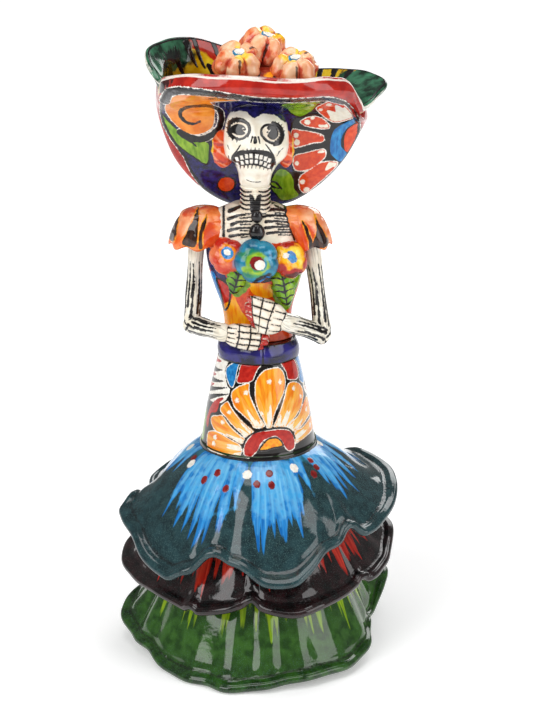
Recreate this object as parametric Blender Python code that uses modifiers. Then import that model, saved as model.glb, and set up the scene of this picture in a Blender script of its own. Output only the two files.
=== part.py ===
"""A hand-built, glazed clay catrina figure: a skeleton lady in a three-flounce skirt and a wide hat.

Every piece is one that the potter shapes by itself and then lutes to its neighbours: the turned
skirt body, three ruffled flounces, the sash, the modelled torso, sleeves, arms, hands, neck, skull,
hat and applied blossoms. The frame is in metres, +Z up, the figure faces -Y, and the origin is on
the table at the middle of the skirt. Left and right are as seen from the front.
"""

import math

import bmesh
import bpy
import numpy as np
from mathutils import Vector

MM = 0.001

# Seams and walls
SEAM_GAP = 0.3 * MM  # slip joint left open between two pieces
SLAB = 4.0 * MM  # rolled clay slab of the flounces and the hat
TURNED_WALL = 5.0 * MM  # wall of the turned skirt body

# Skirt body, from the table up
FOOT_RADIUS = 57.0 * MM
PEDESTAL_HEIGHT = 133.0 * MM
HIP_BOTTOM_RADIUS = 35.5 * MM
HIP_TOP_RADIUS = 24.5 * MM
HIP_HEIGHT = 53.0 * MM
SASH_HEIGHT = 11.5 * MM
SASH_BULGE = 1.2 * MM

# Flounces: height of each collar, and the hem as (angle from the front, reach, height) of each peak and dip
TOP_COLLAR_DROP = 2.0 * MM  # the top flounce is luted on this far under the seam at the hips
MIDDLE_COLLAR = 101.0 * MM
BOTTOM_COLLAR = 62.0 * MM
TOP_HEM = (
    (-115, 74, 92), (-97, 71, 93), (-80, 84, 88), (-58, 84, 76), (-40, 84, 67), (-27, 80, 77), (-14, 76, 83),
    (8, 86, 70), (24, 81, 77), (36, 75, 86), (48, 72.5, 90), (58, 79, 86), (84, 83, 92), (112, 86, 99),
    (130, 76, 103), (152, 85, 88), (176, 74, 97), (200, 86, 84), (222, 74, 95),
)
MIDDLE_HEM = (
    (-97, 82, 55), (-76, 80, 48), (-50, 75, 46), (-32, 73, 47), (-15, 79, 48), (-3, 75, 54), (14, 85, 50),
    (38, 80, 53), (56, 75.5, 56), (74, 80, 56), (100, 84, 66), (122, 73, 64), (145, 84, 52), (168, 73, 62),
    (192, 84, 50), (216, 73, 62), (238, 82, 54), (251, 76, 60),
)
BOTTOM_HEM = (
    (-91, 84, 16), (-76, 80, 9), (-52, 77, 4), (-33, 79, 1.5), (-10, 83, 1.2), (6, 80, 3), (26, 79.5, 5),
    (48, 78, 5), (63, 75, 9), (79, 69, 12.5), (94, 72, 15), (110, 86, 25), (128, 75, 20), (150, 84, 6),
    (172, 74, 12), (196, 84, 3), (220, 74, 12), (242, 82, 10), (256, 77, 20),
)

# Torso and shoulders
TORSO_HEIGHT = 82.0 * MM
WAIST_HALF_WIDTH = 20.5 * MM
WAIST_HALF_DEPTH = 15.5 * MM
BUST_HALF_WIDTH = 29.5 * MM
BUST_HALF_DEPTH = 19.0 * MM
SHOULDER_LEAN = -2.5 * MM  # the shoulders stand a little to the left of the skirt
SLEEVE_HALF_WIDTH = 15.0 * MM
SLEEVE_HALF_DEPTH = 15.0 * MM
SLEEVE_HEIGHT = 24.5 * MM
SLEEVES_CENTRE = -5.0 * MM  # the puffed sleeves sit further left still

# Arms and hands
UPPER_ARM_RADIUS = 5.0 * MM
FOREARM_RADIUS = 5.6 * MM
UPPER_ARM_DROP = {-1: 51.0 * MM, 1: 56.0 * MM}  # the right elbow hangs lower
UPPER_ARM_SPREAD = {-1: 3.0 * MM, 1: 4.5 * MM}
HAND_LENGTH = 25.0 * MM
HAND_WIDTH = 15.5 * MM
HAND_THICKNESS = 8.0 * MM

# Neck and head
NECK_RADIUS = 7.2 * MM
NECK_HEIGHT = 9.0 * MM
HEAD_WIDTH = 37.0 * MM
HEAD_DEPTH = 37.0 * MM
HEAD_HEIGHT = 53.0 * MM
EAR_BLOSSOM_HEIGHT = 23.0 * MM

# Hat: its lip goes once round from the front to the right, as (x, y, height over the chin)
HAT_LIP = (
    (0, -37, 70), (25, -34, 68.5), (43, -24, 68.5), (54, -14, 63), (60, -7, 51), (63, 0, 46), (70, 6, 52),
    (74, 14, 59), (67, 29, 63), (51, 42, 64.5), (30, 51, 63.5), (5, 55, 67), (-20, 53, 76), (-42, 44, 84),
    (-58, 28, 84), (-66, 13, 79), (-64, 4, 71), (-58, -3, 63), (-55, -12, 66), (-43, -23, 70), (-22, -34, 71),
)
# Hat: its body in level rings, as (height over the chin, half width, front depth, back depth, centre y)
HAT_RINGS = (
    (-15, 15, 5.5, 8, 23), (-11, 26, 7.5, 12, 23), (-1, 39, 10, 17, 22.5), (13, 50, 13, 22, 22),
    (30, 57, 15.5, 27, 21.5), (45, 60.5, 21, 31, 20), (55, 60, 35, 37, 12), (62, 58.5, 45, 42, 8.5),
)
HAT_FIXED_RINGS = 5  # rings below this one don't follow the lip up and down
HAT_SQUARENESS = 2.5  # exponent of the rings, 2 for an ellipse
HAT_CENTRE_Y = 8.0 * MM
CROWN_RADIUS = 21.0 * MM
HAT_BLOSSOM_RADIUS = 13.2 * MM
BUST_BLOSSOM_RADIUS = 11.0 * MM
LEAF_LENGTH = 24.0 * MM
BEAD_RADIUS = 3.4 * MM

# Heights worked out from the sizes above
TOP_COLLAR = PEDESTAL_HEIGHT - TOP_COLLAR_DROP
HIP_BASE = PEDESTAL_HEIGHT + SEAM_GAP
SASH_BASE = HIP_BASE + HIP_HEIGHT + SEAM_GAP
TORSO_BASE = SASH_BASE + SASH_HEIGHT + SEAM_GAP
TORSO_TOP = TORSO_BASE + TORSO_HEIGHT
CHIN = TORSO_TOP + NECK_HEIGHT
HEAD_CENTRE = Vector((SHOULDER_LEAN + 1.5 * MM, -5.5 * MM, CHIN + HEAD_HEIGHT / 2))
SLEEVE_OFFSET = BUST_HALF_WIDTH + 1.0 * MM
ARM_OFFSET = SLEEVE_OFFSET + 4.5 * MM
SLEEVE_TOP = TORSO_TOP - 1.8 * MM
SLEEVE_BOTTOM = SLEEVE_TOP - SLEEVE_HEIGHT

ROUND_STEPS = 48
FLOUNCE_STEPS = 72
HAT_STEPS = 66

# Shares of the torso's height, of the bust's width and of its depth, from the waist up
TORSO_SHAPE = (
    (0.00, 0.74, 0.86), (0.09, 0.70, 0.81), (0.22, 0.74, 0.82), (0.38, 0.86, 0.90), (0.55, 0.98, 0.99),
    (0.66, 1.00, 1.00), (0.78, 0.95, 0.92), (0.88, 0.90, 0.80), (0.95, 0.76, 0.66), (1.00, 0.42, 0.48),
)


def fresh_scene():
    """Removes what the scene holds and returns the collections for the pieces and for the cutters."""
    for thing in list(bpy.data.objects):
        bpy.data.objects.remove(thing)
    made = []
    for name in ("catrina_figure", "cutters"):
        group = bpy.data.collections.new(name)
        bpy.context.scene.collection.children.link(group)
        made.append(group)
    return made


def glaze(name, colour, roughness=0.15):
    """A fired glaze in one plain colour."""
    finish = bpy.data.materials.new(name)
    finish.use_nodes = True
    shader = finish.node_tree.nodes["Principled BSDF"]
    shader.inputs["Base Color"].default_value = (*colour, 1)
    shader.inputs["Roughness"].default_value = roughness
    shader.inputs["Metallic"].default_value = 0.0
    return finish


def place(thing, group, finish=None):
    """Puts an object in one collection and gives it its glaze."""
    for holder in list(thing.users_collection):
        holder.objects.unlink(thing)
    group.objects.link(thing)
    if finish:
        thing.data.materials.clear()
        thing.data.materials.append(finish)
    return thing


def mesh_piece(name, points, faces, group, finish=None, smooth=True):
    """A new object from points and faces, with its normals pointing out."""
    mesh = bpy.data.meshes.new(name)
    mesh.from_pydata([tuple(p) for p in points], [], faces)
    cage = bmesh.new()
    cage.from_mesh(mesh)
    bmesh.ops.recalc_face_normals(cage, faces=cage.faces)
    cage.to_mesh(mesh)
    cage.free()
    if smooth:
        mesh.shade_smooth()
    return place(bpy.data.objects.new(name, mesh), group, finish)


def loft(rings, cap_first=True, cap_last=True):
    """Points and faces of a skin through closed rings of equal length, with flat fans as its ends."""
    count = len(rings[0])
    points = [p for ring in rings for p in ring]
    faces = []
    for row in range(len(rings) - 1):
        for i in range(count):
            j = (i + 1) % count
            faces.append((row * count + i, row * count + j, (row + 1) * count + j, (row + 1) * count + i))
    for wanted, row in ((cap_first, 0), (cap_last, len(rings) - 1)):
        if wanted:
            centre = len(points)
            points.append(sum((Vector(p) for p in rings[row]), Vector()) / count)
            faces += [(row * count + i, row * count + (i + 1) % count, centre) for i in range(count)]
    return points, faces


def turned(name, profile, group, finish, steps=ROUND_STEPS):
    """A solid of revolution round Z. The profile runs down its outer side."""
    mesh = bpy.data.meshes.new(name)
    last = len(profile) - 1
    edges = [(i, i + 1) for i in range(last)]
    if profile[0][0] > 0:
        edges.append((last, 0))
    mesh.from_pydata([(r, 0, z) for r, z in profile], edges, [])
    piece = place(bpy.data.objects.new(name, mesh), group, finish)
    screw = piece.modifiers.new("turn", "SCREW")
    screw.axis = "Z"
    screw.steps = screw.render_steps = steps
    screw.use_merge_vertices = True
    screw.merge_threshold = 0.00005
    screw.use_smooth_shade = True
    return piece


def ellipse_ring(centre, half_width, half_depth, steps=ROUND_STEPS):
    """A level ring of points, starting at +X."""
    turns = [2 * math.pi * i / steps for i in range(steps)]
    return [
        Vector((centre[0] + half_width * math.cos(a), centre[1] + half_depth * math.sin(a), centre[2]))
        for a in turns
    ]


def ball(name, centre, radii, group, finish, steps=24, rings=14):
    """A UV sphere scaled to three radii, its scale applied."""
    bpy.ops.mesh.primitive_uv_sphere_add(segments=steps, ring_count=rings, radius=1, location=(0, 0, 0))
    piece = place(bpy.context.object, group, finish)
    piece.name = name
    for vertex in piece.data.vertices:
        vertex.co = Vector(v * r for v, r in zip(vertex.co, radii, strict=True))
    piece.location = centre
    piece.data.shade_smooth()
    return piece


def clearance_cutter(source, cutters, gap=SEAM_GAP):
    """A hidden copy of a piece as it is now, a seam wider all over."""
    bpy.context.view_layer.update()
    graph = bpy.context.evaluated_depsgraph_get()
    mesh = bpy.data.meshes.new_from_object(source.evaluated_get(graph))
    cage = bmesh.new()
    cage.from_mesh(mesh)
    bmesh.ops.remove_doubles(cage, verts=cage.verts, dist=0.00001)
    bmesh.ops.recalc_face_normals(cage, faces=cage.faces)
    cage.normal_update()
    moves = [vertex.normal * gap * vertex.calc_shell_factor() for vertex in cage.verts]
    for vertex, move in zip(cage.verts, moves, strict=True):
        vertex.co += move
    cage.to_mesh(mesh)
    cage.free()
    cutter = place(bpy.data.objects.new(source.name + "_cutter", mesh), cutters)
    cutter.matrix_world = source.matrix_world
    return hide(cutter)


def hide(cutter):
    """Keeps a helper out of the render."""
    cutter.hide_render = True
    cutter.display_type = "WIRE"
    return cutter


def cut(piece, *tools, keep_inside=False):
    """Cuts a piece back to its neighbours' cutters, or keeps only what is inside them."""
    for tool in tools:
        boolean = piece.modifiers.new("seam_" + tool.name, "BOOLEAN")
        boolean.object = tool
        boolean.operation = "INTERSECT" if keep_inside else "DIFFERENCE"
    return piece


def around(controls, angles):
    """Smooth values at each angle from (angle, ...) controls that go once round a circle."""
    table = np.array(sorted(controls), float)
    count = len(table)
    found = []
    for angle in angles:
        a = (angle - table[0, 0]) % 360 + table[0, 0]
        i = int(np.searchsorted(table[:, 0], a, side="right")) - 1
        p0, p1, p2, p3 = (table[(i + k) % count].copy() for k in (-1, 0, 1, 2))
        start, end = p1[0], p2[0] if i + 1 < count else p2[0] + 360
        t = (a - start) / (end - start)
        p0, p1, p2, p3 = p0[1:], p1[1:], p2[1:], p3[1:]
        slope1, slope2 = (p2 - p0) / 2, (p3 - p1) / 2
        found.append(
            (2 * t**3 - 3 * t**2 + 1) * p1
            + (t**3 - 2 * t**2 + t) * slope1
            + (3 * t**2 - 2 * t**3) * p2
            + (t**3 - t**2) * slope2
        )
    return np.array(found)


def pedestal_radius(height):
    """Outer radius of the turned pedestal at a height: a trumpet that closes in to the hips."""
    share = min(max(height / PEDESTAL_HEIGHT, 0), 1)
    return HIP_BOTTOM_RADIUS + (FOOT_RADIUS - HIP_BOTTOM_RADIUS) * (1 - share) ** 1.25


def skirt_pedestal(group, finish):
    """Hollow turned body under the flounces, which carries them and stands on its foot ring."""
    levels = [PEDESTAL_HEIGHT * share for share in (1, 0.88, 0.75, 0.6, 0.45, 0.3, 0.15, 0)]
    outer = [(pedestal_radius(z), z) for z in levels]
    inner = [(r - TURNED_WALL, z) for r, z in reversed(outer)]
    return turned("skirt_pedestal", outer + inner, group, finish)


def hip_skirt(group, finish):
    """Hollow tapered upper skirt between the top flounce and the sash."""
    swell = 0.9 * MM
    shares = (1, 0.75, 0.5, 0.25, 0)
    outer = []
    for share in shares:
        radius = HIP_BOTTOM_RADIUS + (HIP_TOP_RADIUS - HIP_BOTTOM_RADIUS) * share
        outer.append((radius + swell * math.sin(math.pi * share), HIP_BASE + HIP_HEIGHT * share))
    inner = [(r - TURNED_WALL, z) for r, z in reversed(outer)]
    return turned("hip_skirt", outer + inner, group, finish)


def waist_sash(group, finish):
    """Solid round band that closes the hips and carries the torso."""
    profile = [(0, SASH_BASE + SASH_HEIGHT)]
    for share in (1, 0.85, 0.5, 0.15, 0):
        bulge = SASH_BULGE * math.sin(math.pi * share)
        narrowing = 1.8 * MM * share
        profile.append((HIP_TOP_RADIUS - narrowing + bulge, SASH_BASE + SASH_HEIGHT * share))
    profile.append((0, SASH_BASE))
    return turned("waist_sash", profile, group, finish)


def flounce_rings(collar, hem, rows=7):
    """Rings of a ruffled flounce, from its collar on the skirt body out to its hem."""
    angles = [360 * i / FLOUNCE_STEPS for i in range(FLOUNCE_STEPS)]
    values = around(hem, angles) * MM
    mean_reach, mean_drop = values.mean(axis=0)
    start = pedestal_radius(collar) - TURNED_WALL / 2
    rings = []
    for row in range(rows + 1):
        out = row / rows
        ruffle = out**0.8
        droop = 0.55 * out + 1.05 * out**2 - 0.6 * out**4
        ring = []
        for angle, (reach, height) in zip(angles, values, strict=True):
            end = mean_reach + (reach - mean_reach) * ruffle
            low = mean_drop + (height - mean_drop) * ruffle
            radius = start + (end - start) * out
            a = math.radians(angle)
            z = collar + (low - collar) * droop
            ring.append(Vector((radius * math.sin(a), -radius * math.cos(a), z)))
        rings.append(ring)
    return rings


def flounce(name, collar, hem, group, finish):
    """A ruffled clay slab round the skirt body: a skin through its rings, given the slab's thickness."""
    points, faces = loft(flounce_rings(collar, hem), cap_first=False, cap_last=False)
    piece = mesh_piece(name, points, faces, group, finish)
    for polygon in piece.data.polygons:
        if polygon.normal.z < 0:
            polygon.flip()
    slab = piece.modifiers.new("slab", "SOLIDIFY")
    slab.thickness = SLAB
    slab.offset = 1
    return piece


def pedestal_filler(cutters):
    """The skirt body as a solid post a seam wider than the clay, which the flounces are cut round."""
    levels = [PEDESTAL_HEIGHT * share for share in (1, 0.88, 0.75, 0.6, 0.45, 0.3, 0.15, 0)]
    profile = [(0, TORSO_BASE), (HIP_TOP_RADIUS + SEAM_GAP, TORSO_BASE)]
    for share in (0.75, 0.5, 0.25):
        radius = HIP_BOTTOM_RADIUS + (HIP_TOP_RADIUS - HIP_BOTTOM_RADIUS) * share
        profile.append((radius + 1.5 * MM, HIP_BASE + HIP_HEIGHT * share))
    profile += [(pedestal_radius(z) + SEAM_GAP, z) for z in levels]
    profile.append((0, 0))
    return hide(turned("pedestal_filler", profile, cutters, None))


def torso(group, finish):
    """Solid modelled body from the sash to the neck."""
    rings = []
    for height, width, depth in TORSO_SHAPE:
        waist = max(0.0, 1 - height / 0.38)
        half_width = BUST_HALF_WIDTH * width * (1 - waist) + WAIST_HALF_WIDTH * width / 0.72 * waist
        half_depth = BUST_HALF_DEPTH * depth * (1 - waist) + WAIST_HALF_DEPTH * depth / 0.83 * waist
        centre = (SHOULDER_LEAN * height, 0, TORSO_BASE + TORSO_HEIGHT * height)
        rings.append(ellipse_ring(centre, half_width, half_depth, steps=36))
    points, faces = loft(rings)
    return mesh_piece("torso", points, faces, group, finish)


def sleeve(name, side, group, finish):
    """Puffed sleeve: a bell from the shoulder down over the top of the arm."""
    shape = (
        (0, 0.42, 0.40), (0.08, 0.70, 0.64), (0.32, 0.92, 0.86),
        (0.66, 1.03, 1.0), (0.9, 1.06, 1.04), (1, 0.98, 0.96),
    )
    rings = []
    for down, width, depth in shape:
        x = SLEEVES_CENTRE + side * (SLEEVE_OFFSET + (down - 0.55) * 8.5 * MM)
        centre = (x, 0, SLEEVE_TOP - SLEEVE_HEIGHT * down)
        rings.append(ellipse_ring(centre, SLEEVE_HALF_WIDTH * width, SLEEVE_HALF_DEPTH * depth, steps=28))
    points, faces = loft(rings)
    return mesh_piece(name, points, faces, group, finish)


def limb(name, start, end, radius_start, radius_end, group, finish):
    """A rolled clay limb with rounded ends, from one joint to the next."""
    steps, bends = 16, 4
    axis = end - start
    rings = []
    for k in range(bends):
        a = math.pi / 2 * (k + 0.4) / bends
        rings.append((-radius_start * math.cos(a), radius_start * math.sin(a)))
    rings.append((0, radius_start))
    rings.append((axis.length, radius_end))
    for k in reversed(range(bends)):
        a = math.pi / 2 * (k + 0.4) / bends
        rings.append((axis.length + radius_end * math.cos(a), radius_end * math.sin(a)))
    turn = axis.to_track_quat("Z", "Y")
    placed = []
    for along, radius in rings:
        ring = ellipse_ring((0, 0, along), radius, radius, steps=steps)
        placed.append([start + turn @ p for p in ring])
    points, faces = loft(placed)
    return mesh_piece(name, points, faces, group, finish)


def hand(name, wrist, tips, group, finish):
    """Flat mitten hand with its fingers side by side, from the wrist to the fingertips."""
    along = (tips - wrist).normalized()
    across = along.cross(Vector((0, 1, 0))).normalized()
    through = across.cross(along)
    shape = (
        (0.0, 0.50, 0.80), (0.12, 0.80, 0.95), (0.35, 1.0, 1.0),
        (0.7, 1.0, 0.9), (0.92, 0.86, 0.72), (1.0, 0.6, 0.4),
    )
    rings = []
    for share, width, thick in shape:
        centre = wrist + (tips - wrist) * share
        ring = []
        for flat in ellipse_ring((0, 0, 0), 1, 1, steps=20):
            u = math.copysign(abs(flat.x) ** 0.75, flat.x) * HAND_WIDTH / 2 * width
            v = math.copysign(abs(flat.y) ** 0.75, flat.y) * HAND_THICKNESS / 2 * thick
            ring.append(centre + across * u + through * v)
        rings.append(ring)
    points, faces = loft(rings)
    return mesh_piece(name, points, faces, group, finish)


def neck(group, finish):
    """Turned neck, sunk in the shoulders and in the skull until it is cut back to them."""
    sink = 6 * MM
    profile = [(0, CHIN + sink), (NECK_RADIUS, CHIN + sink)]
    folds = 9
    for k in range(folds):
        share = (k + 0.5) / folds
        ridge = 0.35 * MM * (-1) ** k
        profile.append((NECK_RADIUS + ridge + 0.8 * MM * share, CHIN + (TORSO_TOP - CHIN) * share))
    profile += [(NECK_RADIUS + 1.5 * MM, TORSO_TOP - sink), (0, TORSO_TOP - sink)]
    piece = turned("neck", profile, group, finish, steps=24)
    piece.location = (HEAD_CENTRE.x, HEAD_CENTRE.y + 1.5 * MM, 0)
    return piece


def skull(group, finish):
    """Skull with a broad cranium, cheekbones and a narrower jaw."""
    piece = ball("skull", HEAD_CENTRE, (HEAD_WIDTH / 2, HEAD_DEPTH / 2, HEAD_HEIGHT / 2), group, finish, 28, 20)
    for vertex in piece.data.vertices:
        share = vertex.co.z / (HEAD_HEIGHT / 2)
        jaw = min(max((-share - 0.05) / 0.75, 0), 1)
        jaw = jaw * jaw * (3 - 2 * jaw)
        fullness = 1 + 0.16 * math.sin(math.pi * min(max((1 + share) / 1.1, 0), 1))
        vertex.co.x *= fullness * (1 - 0.13 * jaw) * 0.93
        vertex.co.y *= fullness * 0.95
        if vertex.co.y > 0:
            vertex.co.y *= 1 - 0.45 * jaw
    return piece


def hat_lip(angles):
    """Points of the hat's lip at these angles round its centre."""
    controls = []
    for x, y, height in HAT_LIP:
        dx, dy = x * MM, y * MM - HAT_CENTRE_Y
        controls.append((math.degrees(math.atan2(dx, -dy)), math.hypot(dx, dy), CHIN + height * MM))
    found = []
    for angle, (reach, z) in zip(angles, around(controls, angles), strict=True):
        a = math.radians(angle)
        found.append(Vector((reach * math.sin(a), HAT_CENTRE_Y - reach * math.cos(a), z)))
    return found


def hat_ring_rows():
    """Rings of the hat's outer skin: from its foot behind the neck, over the head and out to the lip."""
    angles = [360 * i / HAT_STEPS for i in range(HAT_STEPS)]
    lip = hat_lip(angles)
    base = CHIN + HAT_RINGS[HAT_FIXED_RINGS - 1][0] * MM
    nominal_lip = CHIN + HAT_LIP[0][2] * MM
    rows = []
    for number, (height, half_width, front, back, middle) in enumerate(HAT_RINGS):
        z = CHIN + height * MM
        ring = []
        for angle, edge in zip(angles, lip, strict=True):
            s, c = math.sin(math.radians(angle)), math.cos(math.radians(angle))
            depth = front if c > 0 else back
            power = HAT_SQUARENESS
            radius = (abs(s / half_width) ** power + abs(c / depth) ** power) ** (-1 / power) * MM
            rise = z
            if number >= HAT_FIXED_RINGS:
                rise = base + (z - base) / (nominal_lip - base) * (edge.z - base)
            ring.append(Vector((radius * s, middle * MM - radius * c, rise)))
        rows.append(ring)
    rows.append(lip)
    return rows


def hat_skin(name, offset, group, close_top=False):
    """The hat's outer skin moved along its normals, open at the lip or closed high over it."""
    rows = hat_ring_rows()
    points, faces = loft(rows, cap_last=False)
    skin = mesh_piece(name, points, faces, group)
    cage = bmesh.new()
    cage.from_mesh(skin.data)
    cage.normal_update()
    lowest = min(cage.verts, key=lambda vertex: vertex.co.z)
    outward = -1 if lowest.normal.z > 0 else 1
    for vertex, normal in [(v, v.normal.copy()) for v in cage.verts]:
        vertex.co += normal * outward * offset
    if outward < 0:
        bmesh.ops.reverse_faces(cage, faces=cage.faces)
    if close_top:
        rim = [edge for edge in cage.edges if edge.is_boundary]
        ends = bmesh.ops.extrude_edge_only(cage, edges=rim)["geom"]
        raised = [e for e in ends if isinstance(e, bmesh.types.BMVert)]
        for vertex in raised:
            vertex.co.z += 30 * MM
        bmesh.ops.holes_fill(cage, edges=[e for e in cage.edges if e.is_boundary], sides=0)
        bmesh.ops.triangulate(cage, faces=[f for f in cage.faces if len(f.verts) > 4])
        bmesh.ops.recalc_face_normals(cage, faces=cage.faces)
    cage.to_mesh(skin.data)
    cage.free()
    return skin


def hat_brim(group, finish):
    """The hat itself: a wide dish of rolled slab whose lip is pinched up into two wings."""
    piece = hat_skin("hat_brim", 0, group)
    place(piece, group, finish)
    slab = piece.modifiers.new("slab", "SOLIDIFY")
    slab.thickness = SLAB
    slab.offset = -1
    return piece


def hat_crown(group, finish):
    """Clay dome inside the dish, which stands over the head and carries the blossoms."""
    centre = (2 * MM, -4 * MM, CHIN + HEAD_HEIGHT + 3 * MM)
    return ball("hat_crown", centre, (CROWN_RADIUS * 1.15, CROWN_RADIUS * 0.9, 16 * MM), group, finish, 28, 16)


def blossom(name, centre, facing, radius, lobes, group, finish, flatness=0.85):
    """A puffed blossom: a ball pinched into lobes, with a dimple where its eye sits."""
    piece = ball(name, centre, (radius, radius, radius * flatness), group, finish, lobes * 5, 11)
    for vertex in piece.data.vertices:
        flat = math.hypot(vertex.co.x, vertex.co.y) / radius
        turn = math.atan2(vertex.co.y, vertex.co.x)
        pinch = 1 - 0.16 * flat * (1 - abs(math.cos(turn * lobes / 2)) ** 0.6)
        vertex.co.x *= pinch
        vertex.co.y *= pinch
        if vertex.co.z > 0:
            vertex.co.z *= 1 - 0.22 * math.exp(-((flat / 0.35) ** 2))
    piece.rotation_euler = Vector(facing).to_track_quat("Z", "Y").to_euler()
    return piece


def leaf(name, centre, lean, group, finish):
    """A thick hanging leaf pressed on the bodice."""
    piece = ball(name, centre, (6.2 * MM, 4.2 * MM, LEAF_LENGTH / 2), group, finish, 20, 12)
    for vertex in piece.data.vertices:
        vertex.co.x *= 1 - 0.35 * max(-vertex.co.z / (LEAF_LENGTH / 2), 0)
    piece.rotation_euler = (0, math.radians(lean), 0)
    return piece


def build():
    """Builds the figure from the table up, cutting each piece back to the pieces that it seats on."""
    pieces, cutters = fresh_scene()
    teal = glaze("teal_glaze", (0.05, 0.17, 0.22))
    oxblood = glaze("black_red_glaze", (0.05, 0.01, 0.012))
    green = glaze("green_glaze", (0.04, 0.14, 0.03))
    navy = glaze("navy_glaze", (0.02, 0.02, 0.10))
    bone = glaze("bone_glaze", (0.86, 0.80, 0.68))
    painted = glaze("painted_glaze", (0.85, 0.35, 0.06))
    orange = glaze("orange_glaze", (0.85, 0.22, 0.04))
    petal = glaze("petal_glaze", (0.80, 0.25, 0.10))
    leaf_green = glaze("leaf_glaze", (0.16, 0.38, 0.04))
    black = glaze("black_glaze", (0.015, 0.013, 0.012))

    skirt_pedestal(pieces, green)
    hip_skirt(pieces, painted)
    sash = waist_sash(pieces, navy)
    post = pedestal_filler(cutters)
    for name, collar, hem, finish in (
        ("flounce_top", TOP_COLLAR, TOP_HEM, teal),
        ("flounce_middle", MIDDLE_COLLAR, MIDDLE_HEM, oxblood),
        ("flounce_bottom", BOTTOM_COLLAR, BOTTOM_HEM, green),
    ):
        cut(flounce(name, collar, hem, pieces, finish), post)

    hat = hat_brim(pieces, painted)
    hat_volume = hide(hat_skin("hat_volume", SEAM_GAP, cutters, close_top=True))
    hat_hollow = hide(hat_skin("hat_hollow", -SLAB - 1.4 * SEAM_GAP, cutters, close_top=True))
    crown = hat_crown(pieces, navy)
    crown_room = clearance_cutter(crown, cutters)
    cut(crown, hat_hollow, keep_inside=True)

    body = torso(pieces, painted)
    body_room = clearance_cutter(body, cutters)
    cut(body, hat_volume)
    head = skull(pieces, bone)
    head_room = clearance_cutter(head, cutters)
    cut(head, hat_volume)
    throat = neck(pieces, bone)
    throat_room = clearance_cutter(throat, cutters)
    cut(throat, body_room, head_room, hat_volume)
    for name, side in (("ear_blossom_left", -1), ("ear_blossom_right", 1)):
        centre = HEAD_CENTRE + Vector((side * HEAD_WIDTH * 0.47, 3.5 * MM, 4 * MM))
        radii = (5 * MM, 7.5 * MM, EAR_BLOSSOM_HEIGHT / 2)
        cut(ball(name, centre, radii, pieces, petal, 20, 12), head_room, hat_volume)

    sleeves_room = []
    for side, word in ((-1, "left"), (1, "right")):
        cuff = sleeve("sleeve_" + word, side, pieces, orange)
        cuff_room = clearance_cutter(cuff, cutters)
        sleeves_room.append(cuff_room)
        cut(cuff, body_room, hat_volume)
        shoulder = Vector((SHOULDER_LEAN + side * ARM_OFFSET, 0, SLEEVE_BOTTOM + 4 * MM))
        elbow = shoulder + Vector((side * UPPER_ARM_SPREAD[side], -4 * MM, -UPPER_ARM_DROP[side]))
        front = -WAIST_HALF_DEPTH - HAND_THICKNESS / 2 - 1.2 * MM
        if side < 0:
            wrist = Vector((-18 * MM, front, TORSO_BASE + 8 * MM))
            tips = wrist + Vector((HAND_LENGTH * 0.98, -2 * MM, -HAND_LENGTH * 0.12))
        else:
            wrist = Vector((15 * MM, front - 1.5 * MM, TORSO_BASE + 16.5 * MM))
            tips = wrist + Vector((-HAND_LENGTH * 0.9, -1 * MM, HAND_LENGTH * 0.44))
        palm = hand("hand_" + word, wrist, tips, pieces, bone)
        palm_room = clearance_cutter(palm, cutters)
        sash_room = clearance_cutter(sash, cutters)
        lower = limb("forearm_" + word, elbow, wrist, FOREARM_RADIUS * 1.08, FOREARM_RADIUS * 0.95, pieces, bone)
        lower_room = clearance_cutter(lower, cutters)
        upper = limb("upper_arm_" + word, shoulder, elbow, UPPER_ARM_RADIUS, UPPER_ARM_RADIUS * 0.95, pieces, bone)
        cut(upper, cuff_room, body_room, lower_room)
        cut(lower, palm_room, body_room, sash_room)
        cut(palm, body_room, sash_room)

    bust_height = TORSO_BASE + TORSO_HEIGHT * 0.665
    front = -BUST_HALF_DEPTH
    bust_blossoms = []
    for name, x, rise, forward, tilt in (
        ("bust_blossom_left", -17.0, 1.0, 3.5, -0.45),
        ("bust_blossom_center", 0.5, 0.5, -3.5, 0.02),
        ("bust_blossom_right", 18.0, 0.5, 3.5, 0.5),
    ):
        centre = Vector((SHOULDER_LEAN / 2 + x * MM, front + forward * MM, bust_height + rise * MM))
        made = blossom(name, centre, (tilt, -1, 0.25), BUST_BLOSSOM_RADIUS, 5, pieces, petal, 0.62)
        room = clearance_cutter(made, cutters)
        cut(made, body_room, *sleeves_room, *bust_blossoms)
        bust_blossoms.append(room)
    hands_room = [thing for thing in cutters.objects if thing.name.startswith("hand_")]
    for name, x, drop, lean in (("leaf_left", -12.5, 15.0, 14), ("leaf_right", 15.0, 18.0, -10)):
        centre = Vector((SHOULDER_LEAN / 2 + x * MM, front + 2.5 * MM, bust_height - drop * MM))
        cut(leaf(name, centre, lean, pieces, leaf_green), body_room, *bust_blossoms, *hands_room)
    for name, share, size in (("bead_upper", 0.90, 0.85), ("bead_lower", 0.80, 1.15)):
        depth = BUST_HALF_DEPTH * (0.84 if share < 0.85 else 0.74)
        centre = Vector((SHOULDER_LEAN / 2 + 0.8 * MM, -depth, TORSO_BASE + TORSO_HEIGHT * share))
        radius = BEAD_RADIUS * size
        bead = ball(name, centre, (radius, radius * 0.9, radius * 1.12), pieces, black, 16, 10)
        cut(bead, body_room, throat_room, *bust_blossoms)

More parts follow.
